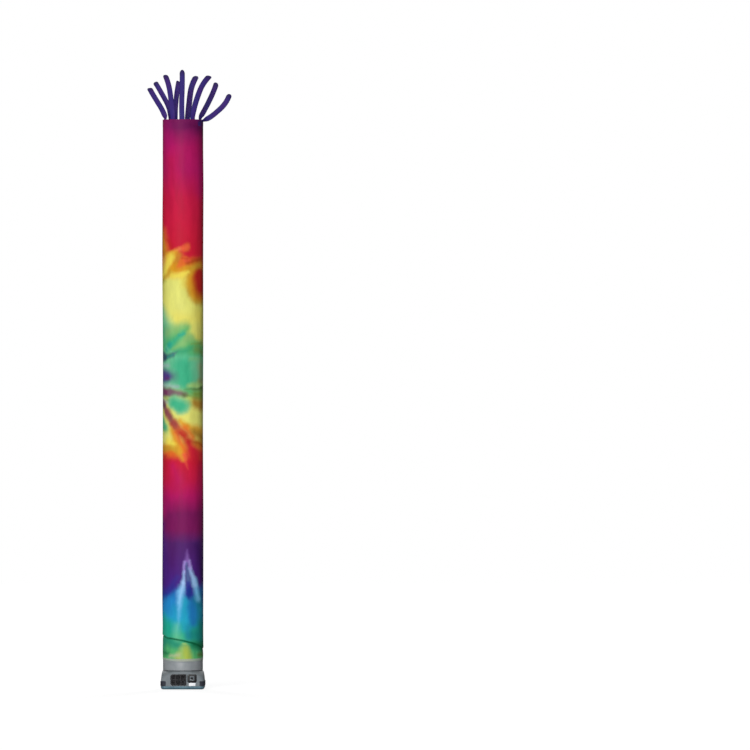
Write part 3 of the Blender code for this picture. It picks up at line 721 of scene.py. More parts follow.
def tray_wall(inset, fillet, low):
    """Sections of the tray's wall from its flat foot up a quarter round."""
    return [square_ring(inset + fillet * (1 - np.sin(t)), low + fillet * (1 - np.cos(t)))
            for t in np.linspace(0, pi / 2, 9)]


def tray_mesh():
    """The steel pan under the housing: flat below, its lower edge a quarter round, its rim
    rolled over."""
    top = TRAY_TOP - ROLLED
    rim = ((0.0, top), (ROLLED, TRAY_TOP), (TRAY_WALL - ROLLED, TRAY_TOP), (TRAY_WALL, top))
    inner = tray_wall(TRAY_WALL, TRAY_FILLET - TRAY_WALL, TRAY_WALL)[::-1]
    rings = [*tray_wall(0.0, TRAY_FILLET, 0.0), *(square_ring(*place) for place in rim), *inner]
    return capped_mesh("steel_tray", rings, sharp_angle=40)


COLLAR_TAPER = 0.003        # wall and bore draw in this much above the grip
CHAMFER_IN, CHAMFER_DOWN = 0.002, 0.004
UNDERCUT, UNDERCUT_HEIGHT, UNDERCUT_SLOPE = 0.0032, 0.0045, 0.002
COLLAR_EASE = 0.0012        # its edges, like the pads', are rounded this much


def collar_mesh():
    """The round outlet, turned from its section: an undercut foot on the ledge, a shallow
    groove that holds the hem, and an eased top that the cloth slides over."""
    bore, narrow = COLLAR_RADIUS - COLLAR_WALL, COLLAR_RADIUS - COLLAR_TAPER
    neck, foot = COLLAR_RADIUS - UNDERCUT, BASE_TOP + GAP
    groove = [(COLLAR_RADIUS - deep * COLLAR_GROOVE, COLLAR_GROOVE_HEIGHT + up * COLLAR_GROOVE)
              for deep, up in ((0, 2), (1, 1), (1, -1), (0, -2))]
    section = (
        (bore - COLLAR_TAPER, COLLAR_TOP), (narrow - CHAMFER_IN, COLLAR_TOP),
        (narrow, COLLAR_TOP - CHAMFER_DOWN), (COLLAR_RADIUS, COLLAR_GRIP), *groove,
        (COLLAR_RADIUS, foot + UNDERCUT_HEIGHT + UNDERCUT_SLOPE), (neck, foot + UNDERCUT_HEIGHT),
        (neck, foot), (bore, foot), (bore, COLLAR_GRIP),
    )
    return turned_mesh("outlet_collar", eased_corners(section, COLLAR_EASE), BLOWER_SIDES)


def panel_middle():
    """The middle (x, z) of the switch panel, halfway between its edges."""
    return (PANEL["left"] + PANEL["right"]) / 2, (PANEL["low"] + PANEL["high"]) / 2


def frame_sizes(shrink):
    """The switch frame's outline, made smaller all round by shrink."""
    x, z = panel_middle()
    radius = max(FRAME_CORNER - shrink, HOLE_CORNER)
    return dict(left=x - FRAME_WIDTH / 2 + shrink, right=x + FRAME_WIDTH / 2 - shrink,
                low=z - FRAME_HEIGHT / 2 + shrink, high=z + FRAME_HEIGHT / 2 - shrink,
                round_left=radius, round_right=radius)


def ringed_plate(name, proud, depth, edge, outer, hole, hole_edge):
    """A plate with a hole: rings over its outer edge to the back, then forward through the
    hole, whose front edge is rounded too."""
    front = -BASE_HALF - proud
    rings = plate_rings(front, depth, edge, outer)
    rings.append(standing(plate_outline(**hole), front + depth))
    rings += eased_rings(front, -hole_edge, hole, np.linspace(pi / 2, 0, 4))
    return wrapped_mesh(name, rings)


def rocker_place(points):
    """Points drawn about the rocker's pin, tilted to its rest and set in the panel."""
    x, z = panel_middle()
    c, s = np.cos(radians(ROCKER_REST)), np.sin(radians(ROCKER_REST))
    turn = np.array(((1, 0, 0), (0, c, -s), (0, s, c)))
    return points @ turn.T + np.array((x, -BASE_HALF, z))


ROCKER_REACH = FRAME_HEIGHT / 2 - FRAME_BORDER - ROCKER_END_GAP
ROCKER_HALF = FRAME_WIDTH / 2 - FRAME_BORDER - ROCKER_SIDE_GAP
ROCKER_EDGE = 0.0006
ROCKER_SPREAD = 60          # degrees from the middle of the drum's open side to its arc
VALLEY = np.array((-ROCKER_VALLEY * ROCKER_REACH, 0.0))
MARK_LIFT = 0.0002          # a mark reaches this far under and over the rocker's face
BAR_HALF = (0.0011, 0.0036)
BAR_EASE = 0.0005
RING_OUTER, RING_INNER, RING_STEPS = 0.0038, 0.0024, 32


def rocker_mesh():
    """The rocker: a drum cut by two faces that meet in a shallow valley, with eased edges."""
    turn = np.radians(np.arange(ROCKER_SPREAD, 361 - ROCKER_SPREAD, 8))
    section = np.concatenate((VALLEY[None], circle(turn, ROCKER_REACH) * (-1, 1)))
    rings = []
    for side, shrink in ((-1, ROCKER_EDGE), (-1, 0.0), (1, 0.0), (1, ROCKER_EDGE)):
        place = side * (ROCKER_HALF - ROCKER_EDGE + shrink)
        rings.append(np.insert(section * (1 - shrink / ROCKER_REACH), 0, place, axis=1))
    return capped_mesh("switch_rocker", rocker_place(np.array(rings)), sharp_angle=30)


def mark_mesh():
    """The on and off marks: a bar on the rocker's upper face and a ring on its lower one,
    each a hair's breadth proud. A mark is a run of outlines, each under or over the face."""
    bar = eased_corners(np.array(((-1, -1), (1, -1), (1, 1), (-1, 1))) * BAR_HALF, BAR_EASE)
    outer, inner = (circle(full_turn(RING_STEPS), r) for r in (RING_OUTER, RING_INNER))
    points, faces = [], []
    for upward, *layers in ((1, (bar, -1), (bar, 1)),
                            (-1, (outer, -1), (outer, 1), (inner, 1), (inner, -1))):
        high = np.array((-0.5, 0.866 * upward)) * ROCKER_REACH      # where the arc ends
        middle, climb = (VALLEY + high) / 2, unit(high - VALLEY)
        out = np.array((-abs(climb[1]), climb[0] * np.sign(climb[1])))
        start, count = len(points), len(layers[0][0])
        made = grid_quads(len(layers), count, upward < 0, True).tolist()
        if upward > 0:
            made += [range(count)[::-1], range(count, 2 * count)]
        faces += [[i + start for i in face] for face in made]
        for shape, side in layers:
            place = middle + shape[:, 1:] * climb + side * MARK_LIFT * out
            points.extend(np.insert(place, 0, shape[:, 0], axis=1))
    return new_mesh("switch_marks", rocker_place(np.array(points)), faces)


def corner_path(out, steps=20):
    """Places (x, y) round the front left corner, at a distance out from the housing."""
    half, middle, end = BASE_HALF + out, CORNER_RADIUS - BASE_HALF, PAD_REACH - BASE_HALF
    arc = middle + circle(np.radians(np.linspace(270, 180, steps)), CORNER_RADIUS + out)
    return np.concatenate((((end, -half),), arc, ((-half, end),)))


def pad_mesh(where, quarter):
    """A rubber corner pad: its section, with a groove along the middle and eased edges,
    carried along the path round a corner, then turned by quarters."""
    full, deep = PAD_THICKNESS, PAD_THICKNESS - PAD_GROOVE
    section = np.array((
        # (out from the housing, share of the height)
        (0.0, 0.0), (full, 0.0), (full, 0.44), (deep, 0.46),
        (deep, 0.54), (full, 0.56), (full, 1.0), (0.0, 1.0),
    ))
    section = eased_corners(section * (1.0, PAD_HIGH - PAD_LOW), COLLAR_EASE)
    rings = np.stack([np.insert(corner_path(GAP + out), 2, PAD_LOW + up, axis=1)
                      for out, up in section], 1)
    c, s = round(np.cos(quarter * pi / 2)), round(np.sin(quarter * pi / 2))
    turned = rings @ np.array(((c, s, 0), (-s, c, 0), (0, 0, 1)))
    return capped_mesh("rubber_corner_" + where, turned, sharp_angle=40)


GLAND_SECTION = (
    # (radius, distance out of the housing)
    (0.0045, 0.0060), (0.0001, 0.0060), (0.0001, 0.0), (0.0170, 0.0), (0.0170, 0.0030),
    (0.0125, 0.0035), (0.0125, 0.0120), (0.0105, 0.0165), (0.0070, 0.0180), (0.0045, 0.0180),
)
GLAND_EASE = 0.0006


def gland_mesh():
    """The gland at the rear, turned about its own axis and laid along Y."""
    mesh = turned_mesh("lead_gland", eased_corners(GLAND_SECTION, GLAND_EASE), 48)
    place = np.empty(3 * len(mesh.vertices))
    mesh.vertices.foreach_get("co", place)
    x, y, z = place.reshape(-1, 3).T
    laid = np.stack((GLAND_X + x, BASE_HALF + GAP + z, GLAND_HEIGHT - y), -1)
    mesh.vertices.foreach_set("co", laid.ravel())
    mesh.update()
    return mesh


# ---- materials: wiring -------------------------------------------------------

class Wire:
    """A value, colour or vector inside a material. Arithmetic on wires adds Math nodes."""

    def __init__(self, socket):
        self.tree, self.socket = socket.id_data, socket

    def __add__(self, other):
        return calc("ADD", self, other)

    def __sub__(self, other):
        return calc("SUBTRACT", self, other)

    def __rsub__(self, other):
        return calc("SUBTRACT", other, self)

    def __mul__(self, other):
        return calc("MULTIPLY", self, other)

    def __truediv__(self, other):
        return calc("DIVIDE", self, other)

    __radd__, __rmul__ = __add__, __mul__


def feed(sockets, values):
    """Wires each value to its socket, or sets it there."""
    for socket, value in zip(sockets, values):
        if isinstance(value, Wire):
            value.tree.links.new(value.socket, socket)
        else:
            socket.default_value = value


def feed_by_name(sockets, values):
    """The same for sockets taken by name, where an underline stands for a space."""
    feed([sockets[name.replace("_", " ")] for name in values], values.values())


def node(tree, kind, settings=None, **inputs):
    """A new shader node with its settings, its inputs wired or set by name."""
    made = tree.nodes.new("ShaderNode" + kind)
    for name, value in (settings or {}).items():
        setattr(made, name, value)
    feed_by_name(made.inputs, inputs)
    return made


def tree_of(values):
    """The node tree in which the first wire among the values lies."""
    return next(value.tree for value in values if isinstance(value, Wire))


def calc(operation, *values, clamp=False):
    """What one Math node makes of its values."""
    made = node(tree_of(values), "Math", {"operation": operation, "use_clamp": clamp})
    feed(made.inputs, values)
    return Wire(made.outputs[0])


def vector(operation, *values, out="Vector"):
    """What one Vector Math node makes of its values."""
    made = node(tree_of(values), "VectorMath", {"operation": operation})
    feed(made.inputs, values)
    return Wire(made.outputs[out])


def joined(x, y, z=0.0):
    """A vector from its three values."""
    return Wire(node(tree_of((x, y)), "CombineXYZ", X=x, Y=y, Z=z).outputs[0])


def alike(value):
    """A vector with the same value each way."""
    return joined(value, value, value)


def parted(place):
    """A vector's three values."""
    return [Wire(s) for s in node(place.tree, "SeparateXYZ", Vector=place).outputs]


def eased(value, start, end, low=0.0, high=1.0):
    """Low to high as value goes from start to end, with level ends."""
    made = node(value.tree, "MapRange", {"interpolation_type": "SMOOTHSTEP"})
    feed(made.inputs, (value, start, end, low, high))
    return Wire(made.outputs[0])


def mixed(share, a, b):
    """Colour a turning to colour b by share."""
    made = node(share.tree, "Mix", {"data_type": "RGBA"})
    feed((made.inputs[0], made.inputs[6], made.inputs[7]), (share, a, b))
    return Wire(made.outputs[2])


def noise(place, scale, detail=2.0, roughness=0.5, out=0):
    """Soft noise about 0.5, or with out=1 a colour whose three values differ."""
    made = node(place.tree, "TexNoise", Vector=place, Scale=scale, Detail=detail,
                Roughness=roughness)
    return Wire(made.outputs[out])


def stretched(place, x, y, z):
    """A place scaled each way, so that a noise on it is drawn out."""
    return vector("MULTIPLY", place, (x, y, z))


def ramp(value, stops):
    """A colour that goes through the stops, pairs of a place and a colour, as value grows."""
    made = node(value.tree, "ValToRGB", Fac=value)
    elements = made.color_ramp.elements
    while len(elements) < len(stops):
        elements.new(0.5)
    for element, (place, colour) in zip(elements, stops):
        element.position, element.color = place, colour
    return Wire(made.outputs[0])


def attribute(tree, name):
    """A value that the mesh holds at each of its points."""
    return Wire(node(tree, "Attribute", {"attribute_name": name}).outputs["Fac"])


def place_of(tree):
    """The place in the object, in metres."""
    return Wire(node(tree, "TexCoord").outputs["Object"])


def seen_by_eye(tree):
    """1 where a ray comes straight from the camera, else 0."""
    return Wire(node(tree, "LightPath").outputs["Is Camera Ray"])


def shade(red, green, blue):
    """A colour as linear light, from its 0 to 255 screen values."""
    screen = [c / 255 for c in (red, green, blue)]
    return (*(c / 12.92 if c <= 0.04045 else ((c + 0.055) / 1.055) ** 2.4 for c in screen), 1.0)


def new_material(name, **fixed):
    """A material with one Principled shader whose fixed sockets are set by name."""
    material = bpy.data.materials.new(name)
    material.use_nodes = True
    tree = material.node_tree
    shader = tree.nodes["Principled BSDF"]
    feed_by_name(shader.inputs, fixed)
    return material, tree, shader


def dress(shader, colour, roughness, height, distance, strength):
    """Gives a shader its colour, its roughness and a bump, whose height is in shares of a
    distance in metres."""
    bump = node(shader.id_data, "Bump", Height=height, Distance=distance, Strength=strength)
    feed_by_name(shader.inputs, {"Base Color": colour, "Roughness": roughness,
                                 "Normal": Wire(bump.outputs[0])})


VECTOR_SOCKETS = ("Place", "Facing", "Start", "End")


def new_group(name, ins, outs):
    """An empty node group with named sockets, vectors where VECTOR_SOCKETS names them and
    else values. Returns its inputs as wires, a way to set its outputs, and the group."""
    tree = bpy.data.node_groups.new(name, "ShaderNodeTree")
    for way, sockets in (("INPUT", ins), ("OUTPUT", outs)):
        for socket in sockets:
            kind = "Vector" if socket in VECTOR_SOCKETS else "Float"
            tree.interface.new_socket(socket, in_out=way, socket_type="NodeSocket" + kind)
    entry, leave = tree.nodes.new("NodeGroupInput"), tree.nodes.new("NodeGroupOutput")
    wires = {s.name: Wire(s) for s in entry.outputs if s.name}
    return wires, lambda **values: feed_by_name(leave.inputs, values), tree


def use_group(group, **inputs):
    """A group placed in a material: its outputs as wires, by name."""
    made = node(tree_of(inputs.values()), "Group", {"node_tree": group}, **inputs)
    return {s.name: Wire(s) for s in made.outputs}


# ---- materials: effects that several finishes share --------------------------

def weave_group():
    """Ripstop nylon: fine threads over and under, and a thicker thread every few
    millimetres both ways. Place is in metres on the flat cloth."""
    ins, give, group = new_group("woven nylon", ("Place", "Thread", "Square"),
                                 ("Height", "Tint"))
    x, y, _ = parted(ins["Place"])
    turns = calc("DIVIDE", 2 * pi, ins["Thread"])
    over = calc("SINE", x * turns) * calc("SINE", y * turns)
    half = ins["Square"] * 0.5
    line = calc("MINIMUM", calc("PINGPONG", x, half), calc("PINGPONG", y, half))
    rib = eased(line, ins["Thread"] * 0.9, 0.0)
    slub = noise(stretched(ins["Place"], 60.0, 700.0, 1.0), 1.0)
    give(Height=over * 0.25 + rib * 0.7 + slub * 0.3, Tint=rib * 0.35 + slub * 0.5)
    return group


def grain_group():
    """Moulded plastic: a fine leathery grain, broad faint mottling, and dust that settles
    on what faces up."""
    ins, give, group = new_group("moulded grain", ("Place", "Facing", "Size"),
                                 ("Height", "Mottle", "Dust"))
    scaled = vector("DIVIDE", ins["Place"], alike(ins["Size"]))
    fine = noise(scaled, 1.0, detail=3.0, roughness=0.6)
    broad = noise(ins["Place"], 14.0, detail=3.0, roughness=0.55)
    up = parted(ins["Facing"])[2]
    speck = noise(ins["Place"], 90.0, detail=4.0, roughness=0.7)
    dust = eased(up, 0.15, 1.0) * eased(speck, 0.40, 0.68)
    give(Height=fine, Mottle=broad, Dust=dust)
    return group


def stroke_group():
    """How much of one stroke of dye lies at a place: the distance from a line between two
    points, held against a width that tapers along it."""
    sockets = ("Place", "Start", "End", "Half Width", "End Half Width", "Softness", "Strength")
    ins, give, group = new_group("dye stroke", sockets, ("Mask",))
    run = vector("SUBTRACT", ins["End"], ins["Start"])
    away = vector("SUBTRACT", ins["Place"], ins["Start"])
    along = vector("DOT_PRODUCT", away, run, out="Value")
    whole = vector("DOT_PRODUCT", run, run, out="Value")
    share = calc("DIVIDE", along, whole, clamp=True)
    nearest = vector("MULTIPLY_ADD", run, alike(share), ins["Start"])
    distance = vector("DISTANCE", ins["Place"], nearest, out="Value")
    width = ins["Half Width"] + (ins["End Half Width"] - ins["Half Width"]) * share
    mask = eased(distance, width + ins["Softness"], width - ins["Softness"])
    give(Mask=mask * ins["Strength"])
    return group


# ---- the dyed print ----------------------------------------------------------

SCREEN_COLOURS = {
    "night plum": (84, 12, 72), "plum": (126, 26, 92), "magenta": (182, 24, 98),
    "bright magenta": (196, 26, 118), "crimson": (204, 28, 72), "red": (212, 30, 56),
    "dark red": (194, 30, 36), "rust": (176, 66, 28), "bronze": (204, 132, 40),
    "rust red": (206, 76, 44), "brick": (164, 74, 74), "umber": (92, 62, 74),
    "mulberry": (146, 74, 90), "coral": (246, 96, 66), "salmon": (250, 142, 86),
    "copper": (208, 104, 30), "tan": (178, 128, 44), "marigold": (226, 158, 34),
    "pale gold": (232, 212, 112), "orange": (236, 112, 42), "amber": (232, 166, 46),
    "ochre": (206, 160, 48), "yellow": (250, 230, 88), "lemon": (236, 234, 120),
    "pale lemon": (240, 240, 132), "lime": (186, 214, 112), "olive": (134, 158, 62),
    "khaki": (168, 166, 116), "moss": (92, 116, 52), "leaf": (182, 198, 78),
    "sage": (142, 198, 122), "green": (92, 188, 114), "jade": (44, 150, 120),
    "mint": (116, 206, 158), "teal": (62, 184, 138), "deep teal": (46, 170, 150),
    "sea green": (56, 166, 118), "bottle green": (12, 104, 66), "slate": (86, 116, 126),
    "deep slate": (58, 86, 104), "slate blue": (88, 110, 164), "haze": (178, 188, 206),
    "dusk": (118, 50, 102), "wine": (138, 48, 100), "smoke": (130, 98, 112),
    "lavender": (160, 118, 204), "violet": (86, 38, 112), "deep violet": (74, 34, 132),
    "mauve": (176, 154, 232), "grape": (86, 58, 146), "ink": (58, 20, 92),
    "indigo": (46, 56, 156), "deep blue": (24, 56, 140), "blue": (34, 120, 190),
    "bright blue": (40, 150, 220), "cyan": (40, 160, 214), "surf": (36, 172, 204),
    "lake": (32, 136, 162), "lagoon": (26, 140, 134), "sea": (34, 172, 146),
    "sky": (128, 204, 250), "ice": (168, 206, 252), "pale edge": (206, 202, 168),
    "hem grey": (172, 176, 170),
}
DYES = {name: shade(*screen) for name, screen in SCREEN_COLOURS.items()}

# heights where the ground colour changes, from the rim down
GROUND = (
    (6.34, "plum"), (6.12, "magenta"), (5.85, "magenta"), (5.55, "crimson"), (4.90, "red"),
    (4.82, "orange"), (4.73, "amber"), (4.60, "lemon"), (4.16, "lemon"), (4.02, "lime"),
    (3.88, "green"), (3.74, "mint"), (3.46, "mint"), (3.30, "lime"), (3.16, "lemon"),
    (2.86, "lemon"), (2.76, "amber"), (2.68, "orange"), (2.58, "red"), (2.36, "crimson"),
    (2.18, "magenta"), (1.98, "plum"), (1.80, "plum"), (1.65, "violet"), (1.18, "deep violet"),
    (1.07, "indigo"), (0.98, "blue"), (0.82, "cyan"), (0.70, "sea"), (0.58, "teal"),
    (0.48, "sea green"), (0.36, "green"),
)
GROUND_LOW, GROUND_HIGH = 0.30, 6.46

STROKES = (
    # (dye, around, height, to around, to height, half width, end half width, softness, all in
    #  millimetres, and its strength in percent)
    # under the rim
    ("night plum", 40, 6370, 300, 6340, 30, 70, 90, 60),
    ("deep violet", 220, 6430, 360, 6390, 30, 50, 60, 55),
    ("bright magenta", -280, 6360, -160, 6080, 60, 80, 120, 60),
    ("bright magenta", 300, 6000, 260, 5620, 50, 60, 110, 60),
    ("crimson", -140, 5980, -120, 5620, 70, 80, 130, 60),
    ("red", -340, 5620, -300, 5340, 50, 50, 120, 60),
    # the upper flames
    ("bronze", -320, 5240, -260, 4930, 20, 70, 60, 90),
    ("orange", -235, 5200, -190, 4980, 10, 30, 50, 60),
    ("amber", -290, 5120, -270, 4980, 10, 30, 50, 60),
    ("dark red", -165, 5060, -130, 4980, 20, 26, 40, 70),
    ("orange", 50, 4990, -100, 4900, 30, 50, 35, 92),
    ("coral", 60, 4995, -10, 4975, 18, 26, 25, 75),
    ("salmon", -30, 4965, -90, 4935, 20, 18, 28, 80),
    ("amber", -60, 4925, -200, 4890, 26, 34, 35, 90),
    ("amber", -105, 4880, -150, 4840, 50, 50, 40, 90),
    ("yellow", -140, 4870, -250, 4690, 45, 70, 50, 88),
    ("pale gold", -270, 4840, -300, 4740, 40, 40, 50, 60),
    ("bronze", -30, 4910, -90, 4780, 28, 36, 32, 90),
    ("marigold", -90, 4775, -150, 4705, 40, 30, 34, 88),
    ("ochre", -150, 4700, -300, 4610, 32, 16, 34, 85),
    ("olive", -290, 4605, -200, 4600, 12, 4, 30, 55),
    ("orange", 30, 4850, -30, 4770, 40, 36, 35, 92),
    ("red", -20, 4945, 70, 4900, 20, 30, 35, 60),
    ("rust", 60, 4815, 260, 4850, 20, 30, 35, 85),
    ("bronze", 130, 4800, 260, 4820, 12, 16, 30, 60),
    ("coral", 30, 4832, 85, 4838, 12, 10, 25, 80),
    ("dark red", 0, 4862, 55, 4852, 6, 8, 20, 55),
    ("ochre", 50, 4745, 230, 4780, 24, 26, 35, 88),
    ("marigold", -100, 4735, 60, 4745, 22, 22, 30, 85),
    # the red patch on the right
    ("ochre", 195, 4590, 225, 4500, 175, 170, 45, 90),
    ("marigold", 190, 4600, 225, 4510, 140, 140, 45, 75),
    ("copper", 235, 4605, 250, 4525, 130, 130, 45, 90),
    ("dark red", 240, 4650, 265, 4560, 105, 100, 45, 95),
    ("yellow", -110, 4670, -10, 4676, 30, 26, 40, 85),
    ("yellow", 10, 4690, 55, 4705, 22, 16, 30, 85),
    ("yellow", 0, 4660, 10, 4540, 20, 24, 50, 60),
    # the yellow field and the teal below it
    ("pale lemon", -120, 4520, -20, 4300, 80, 80, 110, 55),
    ("yellow", -50, 4200, 50, 4160, 50, 60, 80, 45),
    ("yellow", 220, 4240, 220, 4000, 60, 70, 100, 60),
    ("mint", -340, 4220, -220, 4050, 110, 110, 90, 92),
    ("green", -360, 4140, -320, 4000, 40, 50, 60, 60),
    ("teal", -320, 4020, -220, 3940, 90, 90, 70, 75),
    ("lemon", 170, 4060, 340, 3980, 70, 80, 80, 85),
    ("sage", -200, 4020, 30, 4110, 60, 40, 60, 80),
    ("sage", -110, 3860, 90, 3965, 36, 46, 45, 88),
    ("green", -170, 3900, 45, 4070, 60, 44, 50, 85),
    ("teal", -180, 3865, 10, 4025, 40, 26, 40, 92),
    ("deep teal", -210, 3835, -160, 3885, 26, 24, 40, 90),
    ("deep teal", -40, 4005, 20, 4015, 12, 6, 26, 70),
    ("green", 70, 3900, 220, 3900, 20, 30, 45, 60),
    ("olive", 100, 3895, 270, 3905, 4, 10, 22, 70),
    ("sea green", -80, 3800, 100, 3830, 30, 40, 45, 85),
    ("green", 100, 3800, 280, 3800, 40, 40, 45, 65),
    ("olive", 160, 3840, 300, 3800, 30, 40, 45, 60),
    ("teal", 0, 3640, 50, 3500, 120, 130, 80, 95),
    ("mint", 150, 3620, 170, 3480, 50, 50, 60, 65),
    ("khaki", 250, 3640, 280, 3500, 50, 50, 60, 60),
    ("sage", 80, 3725, 260, 3720, 12, 16, 35, 65),
    ("sage", 120, 3445, 200, 3455, 20, 30, 40, 75),
    ("tan", 220, 3480, 320, 3460, 20, 30, 45, 45),
    ("mint", -220, 3860, -100, 3770, 14, 12, 30, 65),
    ("deep slate", -370, 3755, -250, 3742, 85, 40, 35, 95),
    ("deep slate", -250, 3742, -120, 3765, 34, 18, 28, 85),
    ("slate", -120, 3768, -35, 3830, 18, -12, 26, 90),
    ("deep teal", -200, 3745, -120, 3765, 8, 6, 22, 75),
    ("haze", -360, 3645, -180, 3650, 16, 8, 40, 80),
    ("slate", -340, 3540, -120, 3535, 70, 50, 55, 80),
    ("grape", -370, 3540, -200, 3530, 80, 55, 45, 95),
    ("dusk", -220, 3512, -170, 3508, 16, 8, 30, 65),
    ("haze", -360, 3435, -60, 3425, 16, 12, 35, 70),
    # rays out of the burst at the left
    ("lime", 80, 3420, 300, 3430, 22, 26, 40, 70),
    ("green", 50, 3360, 220, 3330, 35, 50, 45, 85),
    ("olive", 150, 3335, 340, 3320, 30, 60, 45, 85),
    ("moss", 20, 3385, 340, 3395, -6, 30, 24, 88),
    ("dusk", -380, 3365, -170, 3350, 64, 44, 35, 95),
    ("wine", -220, 3360, -140, 3350, 20, 16, 30, 75),
    ("smoke", -150, 3355, 20, 3325, 44, 32, 32, 90),
    ("moss", 20, 3318, 110, 3305, 24, -10, 32, 70),
    ("haze", -360, 3275, -200, 3235, 18, 10, 35, 85),
    ("slate", -200, 3265, -130, 3250, 14, 12, 35, 60),
    ("mint", -100, 3235, -10, 3190, 82, 92, 40, 85),
    ("teal", -100, 3220, -20, 3185, 58, 66, 50, 95),
    ("sage", 30, 3250, 90, 3200, 12, 20, 40, 60),
    ("lemon", 140, 3120, 320, 3060, 60, 90, 60, 80),
    ("olive", 140, 3285, 300, 3285, 20, 25, 40, 80),
    ("tan", 150, 3225, 300, 3205, 50, 65, 45, 92),
    ("pale lemon", 330, 3120, 320, 3000, 40, 50, 50, 60),
    ("lime", -300, 3010, -210, 2910, 60, 50, 50, 75),
    ("teal", -380, 3040, -250, 2960, 90, 55, 50, 90),
    ("pale lemon", -340, 2820, -150, 2830, 50, 55, 50, 90),
    ("amber", 80, 2950, 280, 2890, 40, 70, 50, 85),
    ("amber", -130, 2930, -50, 2700, 30, 50, 40, 92),
    ("yellow", -180, 2800, -100, 2740, 40, 34, 40, 88),
    ("ochre", -320, 2715, -80, 2705, 26, 30, 35, 85),
    ("orange", -160, 2650, -80, 2645, 22, 20, 35, 75),
    ("dark red", -340, 2630, -240, 2620, 20, 14, 35, 75),
    ("amber", -50, 2720, 10, 2600, 36, 22, 35, 90),
    ("coral", 20, 2650, 50, 2480, 26, -10, 30, 85),
    ("orange", -80, 2900, 20, 2700, 34, 18, 35, 90),
    ("marigold", -20, 3020, 40, 2970, 30, 36, 36, 85),
    ("orange", 20, 2960, 110, 2850, 26, 36, 36, 90),
    ("tan", 130, 2900, 320, 2800, 40, 50, 45, 88),
    ("rust", 130, 2790, 340, 2720, 24, 26, 35, 85),
    ("red", 60, 2790, 140, 2620, 35, 70, 45, 92),
    ("red", 140, 2700, 360, 2610, 45, 50, 45, 85),
    ("rust red", -110, 3000, 20, 2865, 50, 44, 30, 92),
    ("dark red", -20, 2890, 70, 2790, 32, 36, 40, 80),
    ("brick", -200, 3120, -85, 2985, 50, 36, 34, 85),
    ("mulberry", -290, 3215, -150, 3072, 52, 30, 34, 85),
    ("smoke", -400, 3255, -270, 3205, 54, 36, 34, 85),
    ("umber", -340, 3240, -250, 3185, 34, 10, 34, 70),
    # crimson to violet
    ("bright magenta", -120, 2520, -60, 2360, 30, 50, 80, 45),
    ("magenta", 260, 2500, 270, 2340, 30, 60, 90, 40),
    ("bright magenta", -340, 2140, -280, 2000, 60, 50, 90, 60),
    ("deep violet", -340, 1840, -300, 1400, 60, 80, 100, 75),
    ("night plum", -120, 1620, -120, 1420, 50, 60, 100, 25),
    ("ink", 200, 1600, 300, 1280, 60, 80, 80, 75),
    # the pale fork and the blue water below it
    ("indigo", -140, 1120, -60, 1260, 45, 15, 50, 50),
    ("blue", 240, 1100, 360, 1120, 50, 60, 60, 85),
    ("blue", -150, 1000, -60, 1110, 45, 20, 45, 80),
    ("bright blue", -200, 960, -100, 1000, 60, 50, 70, 70),
    ("sea", -260, 760, -160, 660, 80, 70, 70, 85),
    ("lake", 200, 1020, 280, 780, 70, 80, 60, 88),
    ("lagoon", 260, 680, 280, 600, 80, 90, 60, 88),
    ("lagoon", 100, 620, 260, 600, 60, 70, 50, 88),
    ("surf", 20, 1000, 40, 700, 50, 40, 50, 88),
    ("lake", 50, 700, 60, 600, 30, 30, 50, 75),
    ("blue", 110, 920, 130, 760, 48, 60, 50, 88),
    ("surf", 300, 940, 250, 900, 20, 20, 50, 50),
    ("lavender", 52, 1580, 56, 1440, -10, 26, 38, 75),
    ("surf", -70, 900, -60, 700, 50, 50, 60, 55),
    ("sky", -20, 1100, -62, 680, 36, -20, 46, 80),
    ("mint", -75, 720, -70, 580, 20, 40, 55, 65),
    ("sky", -6, 1150, -50, 900, 32, -10, 40, 80),
    ("mauve", 33, 1440, 21, 1320, 10, 12, 22, 90),
    ("ice", 19, 1325, 0, 1200, 8, 21, 24, 86),
    ("ice", 0, 1200, -34, 980, 22, -10, 30, 85),
    ("sky", 140, 1220, 205, 1020, 34, 30, 40, 85),
    ("ice", 90, 1360, 142, 1190, 18, 30, 26, 82),
    ("mauve", 81, 1455, 98, 1360, 10, 14, 22, 88),
    ("slate blue", 52, 1430, 60, 1240, 8, 20, 20, 88),
    ("slate blue", 62, 1300, 66, 1200, 14, 26, 24, 75),
    ("indigo", 64, 1200, 71, 1120, 24, 30, 26, 80),
    ("deep blue", 71, 1120, 77, 1030, 26, 10, 26, 82),
    # the green foot
    ("jade", -360, 540, -80, 500, 75, 50, 45, 90),
    ("green", -200, 460, -100, 420, 40, 50, 50, 80),
    ("bottle green", -380, 420, -200, 400, 26, 12, 40, 90),
    ("bottle green", 130, 510, 360, 460, 34, 55, 50, 90),
    ("leaf", 14, 440, 4, 350, 48, 95, 50, 85),
    ("leaf", 40, 470, 50, 380, 20, 60, 45, 60),
    ("lime", 5, 516, 30, 514, 6, 6, 22, 85),
    ("moss", 200, 390, 340, 395, 20, 26, 35, 85),
    ("pale edge", -160, 372, -40, 392, 10, 16, 34, 75),
    ("sage", -20, 450, 0, 360, 16, 20, 35, 55),
)

CREEP = (
    # (noise scale, detail, reach): how wet dye creeps, broadly and then finely
    (3.5, 1.0, 0.036),
    (11.0, 2.0, 0.036),
    (48.0, 2.0, 0.009),
)

